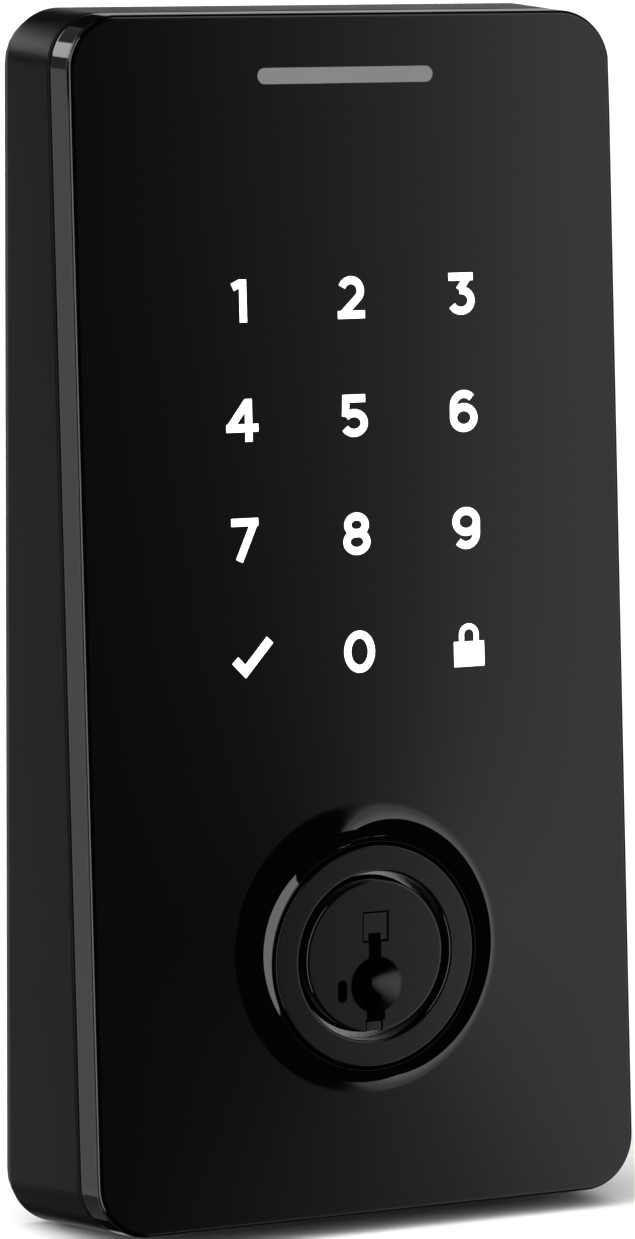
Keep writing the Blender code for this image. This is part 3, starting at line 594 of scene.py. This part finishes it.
makeCamera()
makeWorld()
makeFloor()
makeSun(4.4, (-0.5, -0.45, 1.0))
bpy.context.scene.view_settings.view_transform = "Standard"
print("stage: camera and studio ready")


# the housing: a thin shell whose front edge leans and whose back edge is flat

housingShape = {"grooveDepth": 4.72 * mm, "frontRound": 0.35 * mm, "backRound": 0.7 * mm,
                "back": caseSize["back"], "deckFront": 9.4 * mm, "deckBack": 11.2 * mm}


def makeHousing():
    h, wall = housingShape, caseSize["wall"]
    front = [leaningRing(wall, h["grooveDepth"]), leaningRing(h["frontRound"] + 0.1 * mm, h["grooveDepth"])]
    front += [leaningRing(i, d) for i, d in
              fillet(h["frontRound"], h["grooveDepth"] + h["frontRound"], h["frontRound"], -90, -180)]
    front.append(leaningRing(0, h["grooveDepth"] + h["frontRound"] + 0.15 * mm))
    roundStart = h["back"] - h["backRound"]
    back = [doorRing(0, roundStart - 0.15 * mm)]
    back += [doorRing(i, y) for i, y in fillet(h["backRound"], roundStart, h["backRound"], 180, 90)]
    back += [doorRing(wall - 0.2 * mm, h["back"]), doorRing(wall, h["back"] - 0.2 * mm)]
    shell = loft("housingShell", front + back)
    deck = loft("housingDeck", [leaningRing(wall + 0.01 * mm, h["deckFront"]),
                                leaningRing(wall + 0.01 * mm, h["deckBack"])], closed=False)
    carve(deck, "DIFFERENCE", rod("guardWay", 13.3 * mm, -0.04, 0.04, steps=96),
          block("harnessWay", (-7.5 * mm, 7.5 * mm), (8 * mm, 13 * mm), (22.5 * mm, 31 * mm),
                matrix=faceMatrix))
    settle(deck)
    for piece in (shell, deck):
        place(piece, looks["case"], nodes=("rear_housing",))
    reach = 16.26 * mm / math.sqrt(2)
    bosses = [(x, z, -3.5 * mm) for x in (-27.5 * mm, 27.5 * mm) for z in (-22.5 * mm, 98.7 * mm)]
    bosses += [(-reach, reach, -8.2 * mm), (reach, -reach, -8.2 * mm)]
    for number, (x, z, end) in enumerate(bosses, 1):
        start = faceY(z) + h["deckBack"] + 0.05 * mm
        profile = [(1.25 * mm, -start), (3.4 * mm, -start), (2.9 * mm, -start - 0.5 * mm),
                   (2.9 * mm, -end + 0.2 * mm), (2.7 * mm, -end), (1.25 * mm, -end)]
        boss = turned(f"housingBoss{number}", profile, 32, x, z)
        place(boss, looks["case"], nodes=("rear_housing",))


bezelShape = {"top": 0.62 * mm, "depth": 4.34 * mm, "rim": 0.68 * mm, "rimRound": 0.02 * mm,
              "backRound": 0.25 * mm, "ledge": 2.8 * mm, "skirtInset": 2.3 * mm, "window": 3.9 * mm,
              "skirtEnd": 7.4 * mm}


def makeBezel():
    b = bezelShape
    r = b["rimRound"]
    path = [(b["rim"], b["ledge"]), (b["rim"], b["top"] + r), (b["rim"] - r, b["top"]), (r, b["top"]),
            (0, b["top"] + r), (0, b["depth"] - b["backRound"] - 0.15 * mm)]
    path += fillet(b["backRound"], b["depth"] - b["backRound"], b["backRound"], 180, 90)
    path += [(b["skirtInset"], b["depth"]), (b["skirtInset"], b["skirtEnd"] - 0.2 * mm),
             (b["skirtInset"] + 0.2 * mm, b["skirtEnd"]), (b["window"] - 0.2 * mm, b["skirtEnd"]),
             (b["window"], b["skirtEnd"] - 0.2 * mm), (b["window"], b["ledge"])]
    bezel = loft("bezel", [leaningRing(i, d) for i, d in path])
    place(bezel, looks["bezel"], nodes=("front_bezel",))


# the window: rings run from the rounded outline to a soft lip round the cylinder

lensShape = {"inset": 0.7 * mm, "thick": 1.8 * mm, "edgeDepth": 0.6 * mm, "edgeRound": 0.45 * mm,
             "lipFront": 23.62 * mm,
             "lipRadius": 13.05 * mm, "lipFillet": 4.8 * mm, "lipRound": 0.03 * mm, "bore": 12.98 * mm,
             "collarEnd": 16.2 * mm, "collarOuter": 15.6 * mm, "roundSteps": 180, "lipSteps": 26}


def outlineAt(angle, inset):
    # where a ray from the cylinder's axis meets the case's outline
    half = caseSize["halfWidth"] - inset
    low, high = caseSize["low"] + inset, caseSize["high"] - inset
    r = max(caseSize["corner"] - inset, 0.8 * mm)
    c, s = math.cos(angle), math.sin(angle)
    reach = min(half / max(abs(c), 1e-9), (high if s > 0 else -low) / max(abs(s), 1e-9))
    x, z = reach * c, reach * s
    if abs(x) > half - r and (z > high - r or z < low + r):
        kx = math.copysign(half - r, c)
        kz = high - r if s > 0 else low + r
        along = kx * c + kz * s
        reach = along + math.sqrt(max(r * r + along * along - kx * kx - kz * kz, 0))
        x, z = reach * c, reach * s
    return x, z


def lipPath(angle):
    # (radius, height over the face) from the lip's foot to its rim, an arc tangent to the leaning face
    k = lensShape
    rise = k["lipFront"] - k["lipRound"] + faceY(k["lipRadius"] * math.sin(angle))
    foot = k["lipRadius"] + math.sqrt(rise * (2 * k["lipFillet"] - rise))
    steep = math.acos(1 - rise / k["lipFillet"])
    turns = [steep * i / k["lipSteps"] for i in range(k["lipSteps"] + 1)]
    return [(foot - k["lipFillet"] * math.sin(t), k["lipFillet"] * (1 - math.cos(t))) for t in turns]


def makeLens():
    k = lensShape
    cornerInset = k["edgeRound"]
    angles = [math.tau * i / k["roundSteps"] for i in range(k["roundSteps"])]
    angles += [math.atan2(z, x) % math.tau for x, z in caseOutline(cornerInset)]
    angles = sorted(angles)
    angles = [a for a, b in zip(angles, angles[1:] + [angles[0] + math.tau]) if b - a > 0.0004]
    lips = [lipPath(a) for a in angles]
    back = k["thick"] / math.cos(tilt)

    def edgeRing(inset, depth):
        points = [outlineAt(a, inset) for a in angles]
        return [(x, faceY(z) + depth, z) for x, z in points]

    def circle(radius, front):
        return [(radius * math.cos(a), -front, radius * math.sin(a)) for a in angles]

    e, front, rim = k["edgeRound"], k["lipFront"], k["lipRadius"]
    rings = [edgeRing(k["inset"], k["thick"]), edgeRing(k["inset"], k["edgeDepth"]),
             edgeRing(0.02 * mm, k["edgeDepth"]), edgeRing(0, k["edgeDepth"] - 0.02 * mm),
             edgeRing(0, e + 0.1 * mm)]
    rings += [edgeRing(i, d) for i, d in fillet(e, e, e, 180, 270, 8)]
    rings.append(edgeRing(cornerInset + 0.15 * mm, 0))
    for step in range(k["lipSteps"] + 1):
        ring = []
        for angle, lip in zip(angles, lips):
            reach, height = lip[step]
            x, z = reach * math.cos(angle), reach * math.sin(angle)
            ring.append((x, faceY(z) - height, z))
        rings.append(ring)
    rings += [circle(rim - 0.01 * mm, front), circle(k["bore"] + 0.02 * mm, front),
              circle(k["bore"], front - 0.03 * mm),
              circle(k["bore"], k["collarEnd"]), circle(k["collarOuter"], k["collarEnd"])]
    rings.append([(x, faceY(z) + back, z) for x, y, z in circle(k["collarOuter"], 0)])
    lens = loft("touchWindow", rings)
    place(lens, looks["lens"], nodes=("touch_lens",))


print("stage: case pieces defined")
makeHousing()
makeBezel()
makeLens()
print("stage: case made")


# the ring round the plug, with a straight outer wall and a flange, and the plug itself

guardShape = {"front": 23.75 * mm, "bore": 9.62 * mm, "boreRound": 0.22 * mm, "outer": 12.54 * mm,
              "outerRound": 0.08 * mm, "bodySeat": 11.3 * mm, "flange": 16.5 * mm}


def roundCorner(radius, reach, size, start, end):
    # (radius, reach) points round an edge whose arc's centre is at (radius, reach)
    return arc(radius, reach, size, start, end, 5)


def makeGuard():
    g = guardShape
    f, c, r = g["front"], g["boreRound"], g["outerRound"]
    profile = [(g["bore"], f - 2.0 * mm), (g["bore"], f - c - 0.1 * mm)]
    profile += roundCorner(g["bore"] + c, f - c, c, 180, 90)
    profile += [(g["bore"] + c + 0.1 * mm, f), (g["outer"] - r - 0.1 * mm, f)]
    profile += roundCorner(g["outer"] - r, f - r, r, 90, 0)
    profile += [(g["outer"], f - r - 0.1 * mm), (g["outer"], 15.0 * mm), (g["flange"], 15.0 * mm),
                (g["flange"], 13.8 * mm), (g["outer"], 13.8 * mm), (g["outer"], 9.2 * mm),
                (g["outer"] - 0.2 * mm, 9.0 * mm), (g["bodySeat"], 9.0 * mm), (g["bodySeat"], f - 2.0 * mm)]
    place(turned("guardRing", profile, 180), looks["guard"], nodes=("cylinder_guard",))


plugShape = {"front": 23.75 * mm, "radius": 8.67 * mm, "edge": 0.2 * mm, "rear": -3.9 * mm, "boss": 6.0 * mm,
             "bossEnd": -9.0 * mm, "dishRadius": 3.25 * mm, "dishDepth": 2.3 * mm, "dishX": 0.15 * mm,
             "dishZ": -3.25 * mm}


def makePlug():
    p = plugShape
    f, e, face = p["front"], p["edge"], -p["front"]
    plug = turned("plug", [(0, f), (p["radius"] - e - 0.15 * mm, f)]
                  + roundCorner(p["radius"] - e, f - e, e, 90, 0) + [
        (p["radius"], f - e - 0.15 * mm), (p["radius"], p["rear"]), (p["boss"], p["rear"]),
        (p["boss"], -6.6 * mm), (5.05 * mm, -6.6 * mm), (5.05 * mm, -7.8 * mm), (p["boss"], -7.8 * mm),
        (p["boss"], p["bossEnd"] + 0.3 * mm), (p["boss"] - 0.3 * mm, p["bossEnd"]), (0, p["bossEnd"])], 128)
    far = 0.05
    dishWide = p["dishRadius"] + (p["dishRadius"] - 0.9 * mm) / p["dishDepth"] * 1.0 * mm
    dish = turned("dish", [(0, f + 1.0 * mm), (dishWide, f + 1.0 * mm), (0.9 * mm, f - p["dishDepth"]),
                           (0, f - p["dishDepth"])], 96, p["dishX"], p["dishZ"], tools)
    openAngle = 45 + math.degrees(math.atan2(0.8, 3.3)) + 3
    bowTie = (arc(0, 0, 3.6 * mm, -openAngle, openAngle, 16) + [(0, 1.35 * mm)]
              + arc(0, 0, 3.6 * mm, 180 - openAngle, 180 + openAngle, 16) + [(0, -1.35 * mm)])
    keyways = (block("keywayUpper", (-0.8 * mm, 0.8 * mm), (-far, 2 * mm), (-7.4 * mm, 2.6 * mm)),
               block("keywayLower", (-1.0 * mm, 1.35 * mm), (-far, 1.9 * mm), (-7.3 * mm, -4.5 * mm)))
    toolSlot = stadium(0.7 * mm, 0.6 * mm, -4.12 * mm, -3.72 * mm, 90.0)
    carve(plug, "DIFFERENCE", dish, *keyways,
          block("insertPocket", (-1.6 * mm, 1.75 * mm), (-far, face + 4.3 * mm), (1.6 * mm, 5.1 * mm)),
          block("footPocket", (-1.15 * mm, 1.05 * mm), (-far, face + 3.3 * mm), (-9.5 * mm, -7.2 * mm)),
          prism("toolSlot", toolSlot, -far, -18.5 * mm, tools),
          block("barSlot", (-9.5 * mm, -3.2 * mm), (-19.3 * mm, 1.3 * mm), (-1.3 * mm, 1.3 * mm)),
          block("carrierSlot", (-5.2 * mm, -3.1 * mm), (-18.9 * mm, 2.2 * mm), (-5.2 * mm, -1.9 * mm)),
          prism("tailHollow", bowTie, 5.0 * mm, far, tools))
    for number in range(5):
        depth = face + 6.3 * mm + 3.8 * mm * number
        carve(plug, "DIFFERENCE",
              block(f"pinWell{number}", (-3.3 * mm, 1.6 * mm), (depth - 1.6 * mm, depth + 1.6 * mm),
                    (-1.9 * mm, 7.2 * mm)))
    settle(plug, 28)
    place(plug, looks["plug"], "plug", ("key_plug",))
    wide, narrow, deep = p["dishRadius"], 0.88 * mm, p["dishDepth"]
    floor, top = f - deep, f - 0.01 * mm
    cup = turned("keyDish", [(0, floor + 0.06 * mm), (narrow - 0.04 * mm, floor + 0.06 * mm),
                             (wide - 0.09 * mm, top), (wide - 0.02 * mm, top),
                             (narrow, floor + 0.01 * mm), (0, floor + 0.01 * mm)], 96, p["dishX"], p["dishZ"])
    carve(cup, "DIFFERENCE", *keyways)
    place(settle(cup), looks["dish"], "plug", ("key_plug",))
    insert = block("squareInsert", (-1.4 * mm, 1.55 * mm), (face + 0.02 * mm, face + 4.0 * mm),
                   (1.8 * mm, 4.9 * mm), parts)
    carve(insert, "DIFFERENCE", block("insertNotch", (-0.8 * mm, 0.8 * mm), (-far, 0), (0, 2.6 * mm)))
    settle(insert, bevel=0.08 * mm)
    place(insert, looks["insert"], "plug", ("drill_guard",))
    foot = block("keywayFoot", (-0.95 * mm, 0.85 * mm), (face + 0.02 * mm, face + 3.0 * mm),
                 (-8.45 * mm, -7.45 * mm), parts)
    settle(foot, bevel=0.06 * mm)
    place(foot, looks["insert"], "plug", ("keyway_foot",))


# the cylinder's body with its screwed ears, seen from the back

bodyShape = {"radius": 11.0 * mm, "front": 21.45 * mm, "rear": -6.5 * mm, "bore": 8.97 * mm,
             "bossBore": 6.3 * mm, "boreEnd": 4.2 * mm, "earReach": 16.26 * mm, "chamfer": 0.4 * mm}


def makeBody():
    k = bodyShape
    c = k["chamfer"]
    body = turned("cylinderBody", [
        (0, k["front"]), (k["radius"] - c, k["front"]), (k["radius"], k["front"] - c),
        (k["radius"], k["rear"] + c), (k["radius"] - c, k["rear"]), (0, k["rear"])], 128)
    ears = prism("bodyEars", stadium(k["earReach"], 3.8 * mm, turn=135.0), -7.9 * mm, -5.4 * mm, tools)
    settle(ears, bevel=0.25 * mm)
    carve(body, "UNION", ears)
    along, across, deep = (-19.6 * mm, 1.6 * mm), (-1.4 * mm, 1.4 * mm), (7.5 * mm, 9.9 * mm)
    reach = k["earReach"] / math.sqrt(2)
    carve(body, "DIFFERENCE", rod("bodyBore", k["bore"], -0.05, k["boreEnd"], steps=128),
          rod("bossWay", k["bossBore"], -0.05, 0.05, steps=96),
          block("barGroove", (-deep[1], -deep[0]), along, across), block("rekeyGroove", across, along, deep),
          rod("earHole1", 1.6 * mm, -9 * mm, -4 * mm, -reach, reach),
          rod("earHole2", 1.6 * mm, -9 * mm, -4 * mm, reach, -reach))
    place(settle(body), looks["zinc"], nodes=("cylinder_body",))


# the mounting plate with its beads, the threaded posts and the screws

plateShape = {"front": -3.2 * mm, "rear": -1.6 * mm, "beadX": 17.0 * mm, "beadZ": 62.0 * mm,
              "beadHalf": 24.0 * mm, "beadRadius": 2.2 * mm, "beadRise": 0.7 * mm, "cableZ": 21.5 * mm,
              "postX": 19.05 * mm, "screwX": 27.5 * mm, "screwZ": (-22.5 * mm, 98.3 * mm)}


def makePlate():
    k = plateShape
    plate = prism("mountingPlate", caseOutline(2.3 * mm), k["front"], k["rear"])
    for side in (-1, 1):
        outline = stadium(k["beadHalf"], k["beadRadius"], side * k["beadX"], k["beadZ"], 90)
        bead = prism(f"plateBead{side + 2}", outline, k["rear"] - 0.3 * mm, k["rear"] + k["beadRise"], tools)
        settle(bead, bevel=0.45 * mm, segments=4)
        carve(plate, "UNION", bead)
        carve(plate, "DIFFERENCE", rod(f"postWay{side + 2}", 4.3 * mm, -0.01, 0.01, side * k["postX"]))
        for end, z in enumerate(k["screwZ"]):
            way = rod(f"screwWay{side + 2}{end}", 1.5 * mm, -0.01, 0.01, side * k["screwX"], z)
            carve(plate, "DIFFERENCE", way)
    carve(plate, "DIFFERENCE", rod("bodyWay", 11.5 * mm, -0.01, 0.01, steps=96),
          prism("cableWay", stadium(3.4 * mm, 3.6 * mm, 0, k["cableZ"]), -0.01, 0.01, tools))
    place(settle(plate), looks["zinc"], nodes=("rear_plate",))


def makePost(name, x, node):
    thread = []
    depth = -3.4 * mm
    while depth < 4.8 * mm:
        thread += [(2.05 * mm, depth), (2.3 * mm, depth + 0.2 * mm)]
        depth += 0.4 * mm
    profile = [(0, 10.0 * mm), (5.3 * mm, 10.0 * mm), (5.5 * mm, 9.8 * mm), (5.5 * mm, 8.5 * mm),
               (3.9 * mm, 8.5 * mm), (3.9 * mm, -3.7 * mm), (3.6 * mm, -4.0 * mm), (2.4 * mm, -4.0 * mm)]
    post = turned(name, profile + thread + [(2.05 * mm, 5.5 * mm), (0, 6.6 * mm)], 64, x, sharp=25)
    place(post, looks["screw"], nodes=(node,))


def makeScrew(name, x, z, under, top, tip, headRadius, shaftRadius, node):
    # a domed pan head with a cross recess, distances in front of the door
    rim = under + (top - under) * 0.35
    angles = [math.radians(a) for a in range(0, 90, 10)]
    dome = [(headRadius * math.cos(a), rim + (top - rim) * math.sin(a)) for a in angles]
    profile = [(0, tip), (shaftRadius * 0.6, tip), (shaftRadius, tip - 0.4 * mm), (shaftRadius, under),
               (headRadius, under), *dome, (0, top)]
    screw = turned(name, profile, 48, x, z)
    wide, thin, deep = headRadius * 0.55, 0.3 * mm, 0.55 * mm
    carve(screw, "DIFFERENCE",
          block(name + "Drive1", (x - wide, x + wide), (-top - deep, 0.01), (z - thin, z + thin)),
          block(name + "Drive2", (x - thin, x + thin), (-top - deep, 0.01), (z - wide, z + wide)))
    place(settle(screw), looks["screw"], nodes=(node,))


def makeBack():
    makePlate()
    for side, x in (("left", -plateShape["postX"]), ("right", plateShape["postX"])):
        makePost("boltPost" + side.title(), x, "bolt_post_" + side)
    across = (-plateShape["screwX"], plateShape["screwX"])
    places = [(x, z) for z in plateShape["screwZ"] for x in across]
    for number, (x, z) in enumerate(places, 1):
        makeScrew(f"plateScrew{number}", x, z, 1.4 * mm, 0.3 * mm, 5.9 * mm, 2.6 * mm, 0.95 * mm,
                  f"plate_screw_{number}")
    reach = bodyShape["earReach"] / math.sqrt(2)
    for node, x, z in (("cylinder_screw_upper", -reach, reach), ("cylinder_screw_lower", reach, -reach)):
        makeScrew("cylinderScrew" + node[-5:].title(), x, z, 5.1 * mm, 3.6 * mm, 10.6 * mm, 2.6 * mm,
                  1.0 * mm, node)


makeGuard()
makePlug()
makeBody()
makeBack()
print("stage: cylinder and back made")


# legends: flat strokes laid on the face, drawn with a stroke font of even width

legendShape = {"height": 4.74 * mm, "stroke": 0.88 * mm, "columnPitch": 14.1 * mm, "rowPitch": 13.24 * mm,
               "topRow": 73.8 * mm, "proud": 0.03 * mm}


def strokeShape(bm, path, width, closedPath=False):
    # a band of constant width along (u, v) points, with square ends and mitred bends
    points = [Vector(p) for p in path]
    count = len(points)
    left, right = [], []
    for i, p in enumerate(points):
        before = points[i - 1] if (i or closedPath) else None
        after = points[(i + 1) % count] if (i < count - 1 or closedPath) else None
        a = (p - before).normalized() if before is not None else None
        b = (after - p).normalized() if after is not None else None
        if a is None:
            a = b
        if b is None:
            b = a
        along = (a + b).normalized()
        normal = Vector((-along.y, along.x))
        stretch = 1 / max(normal.dot(Vector((-a.y, a.x))), 0.35)
        left.append(p + normal * width / 2 * stretch)
        right.append(p - normal * width / 2 * stretch)
    top = [[bm.verts.new((q.x, -legendShape["proud"], q.y)) for q in side] for side in (left, right)]
    low = [[bm.verts.new((q.x, 0.02 * mm, q.y)) for q in side] for side in (left, right)]
    last = count if closedPath else count - 1
    for i in range(last):
        j = (i + 1) % count
        bm.faces.new((top[0][i], top[0][j], top[1][j], top[1][i]))
        bm.faces.new((low[0][i], low[0][j], low[1][j], low[1][i]))
        bm.faces.new((top[0][i], top[0][j], low[0][j], low[0][i]))
        bm.faces.new((top[1][i], top[1][j], low[1][j], low[1][i]))
    if not closedPath:
        for i in (0, count - 1):
            bm.faces.new((top[0][i], top[1][i], low[1][i], low[0][i]))


def oval(cx, cy, rx, ry, start=0, end=360, steps=40):
    full = abs(end - start) >= 360
    return [(cx + rx * math.cos(math.radians(start + (end - start) * i / steps)),
             cy + ry * math.sin(math.radians(start + (end - start) * i / steps)))
            for i in range(steps if full else steps + 1)]


def legendPaths():
    # every glyph is a list of (points, closed), in a cell one unit high centred on (0, 0)
    w = legendShape["stroke"] / legendShape["height"]
    top, low, h = 0.5 - w / 2, -0.5 + w / 2, 0.5
    six = [(oval(0.0, low + 0.25, 0.28, 0.25), True),
           (oval(0.01, top - 0.28, 0.285, 0.28, 42, 180, 16) + [(-0.28, low + 0.24)], False)]
    return {
        "1": [([(-0.17, 0.325), (0.05, 0.425)], False), ([(0.10, h), (0.10, -h)], False)],
        "2": [(oval(0, top - 0.25, 0.255, 0.25, 158, -40, 22) + [(-0.24, low)], False),
              ([(-0.36, low), (0.36, low)], False)],
        "3": [([(-0.33, top), (0.33, top)], False), ([(0.2, top), (-0.045, 0.085)], False),
              (oval(0, low + 0.245, 0.275, 0.245, 98, -152, 26), False)],
        "4": [([(0.17, h), (0.17, -h)], False), ([(0.14, 0.43), (-0.32, -0.16)], False),
              ([(-0.42, -0.18), (0.42, -0.18)], False)],
        "5": [([(0.31, top), (-0.205, top), (-0.225, -0.01)], False),
              (oval(0, low + 0.235, 0.275, 0.235, 140, -150, 28), False)],
        "6": six,
        "7": [([(-0.355, top), (0.355, top)], False), ([(0.26, top), (-0.165, -h)], False)],
        "8": [(oval(0, 0.212, 0.235, 0.2), True), (oval(0, low + 0.215, 0.268, 0.215), True)],
        "9": [([(-x, -y) for x, y in path], closedPath) for path, closedPath in six],
        "0": [(oval(0, 0, 0.32, top), True)],
    }


def makeLegend(name, number, pieces, width, body="escutcheon"):
    bm = bmesh.new()
    for path, closedPath in pieces:
        strokeShape(bm, path, width, closedPath)
    column, row = number % 3 - 1, number // 3
    shift = Matrix.Translation((column * legendShape["columnPitch"], 0,
                                legendShape["topRow"] - row * legendShape["rowPitch"]))
    bm.transform(faceMatrix @ shift)
    place(toObject(name, bm), looks["legend"], body)


def makeLegends():
    s = legendShape["height"]
    shapes = legendPaths()
    for number, glyph in enumerate("123456789"):
        scaled = [([(x * s, y * s) for x, y in path], closedPath) for path, closedPath in shapes[glyph]]
        makeLegend(f"legend{glyph}", number, scaled, legendShape["stroke"])
    check = [(-1.62 * mm, -0.16 * mm), (-0.36 * mm, -1.44 * mm), (2.78 * mm, 1.96 * mm)]
    makeLegend("legendCheck", 9, [(check, False)], 1.04 * mm)
    scaled = [([(x * s, y * s) for x, y in path], closedPath) for path, closedPath in shapes["0"]]
    makeLegend("legend0", 10, scaled, legendShape["stroke"])
    bm = bmesh.new()
    strokeShape(bm, [(-1.95 * mm, -1.02 * mm), (1.95 * mm, -1.02 * mm)], 2.85 * mm)
    strokeShape(bm, [(-0.95 * mm, 0), *oval(0, 1.16 * mm, 0.95 * mm, 0.95 * mm, 180, 0, 24), (0.95 * mm, 0)],
                0.64 * mm)
    lowestRow = legendShape["topRow"] - 3 * legendShape["rowPitch"]
    shift = Matrix.Translation((legendShape["columnPitch"], 0, lowestRow))
    bm.transform(faceMatrix @ shift)
    place(toObject("legendLock", bm), looks["legend"])


markShape = {"halfLength": 10.2 * mm, "radius": 0.9 * mm, "height": 98.6 * mm}


def makeMark():
    # a plain grey bar where a maker would put a name
    bar = prism("plainBar", stadium(markShape["halfLength"], markShape["radius"], 0, markShape["height"]),
                -0.03 * mm, 0.02 * mm, parts, faceMatrix)
    place(bar, looks["mark"])


makeLegends()
makeMark()
print("stage: legends made")


# carried-over nodes get their finishes

carried = {
    "rubber": ("lens_gasket", "rear_gasket", "guard_seal", "cable_grommet"),
    "film": ("diffuser_sheet", "light_mask"),
    "board": ("touch_board",),
    "chip": ("board_cover", "touch_chip", "main_chip", "buzzer"),
    "nylon": ("harness_socket",),
    "zinc": ("tailpiece",),
    "brass": ("side_bar",),
    "insert": ("rekey_carrier", "plug_clip"),
}


def dressNodes():
    named = {node: look for look, nodes in carried.items() for node in nodes}
    for node in frame["nodes"]:
        look = named.get(node)
        if node.startswith(("cover_screw", "pin_spring")):
            look = "screw"
        if node.startswith("tumbler_pin"):
            look = "brass"
        if node.startswith("key_led"):
            look = "led"
        if look:
            mesh = frame["nodes"][node].data
            mesh.materials.clear()
            mesh.materials.append(looks[look])


dressNodes()
for tool in list(tools.objects):
    bpy.data.objects.remove(tool)
print("stage: finishes given")
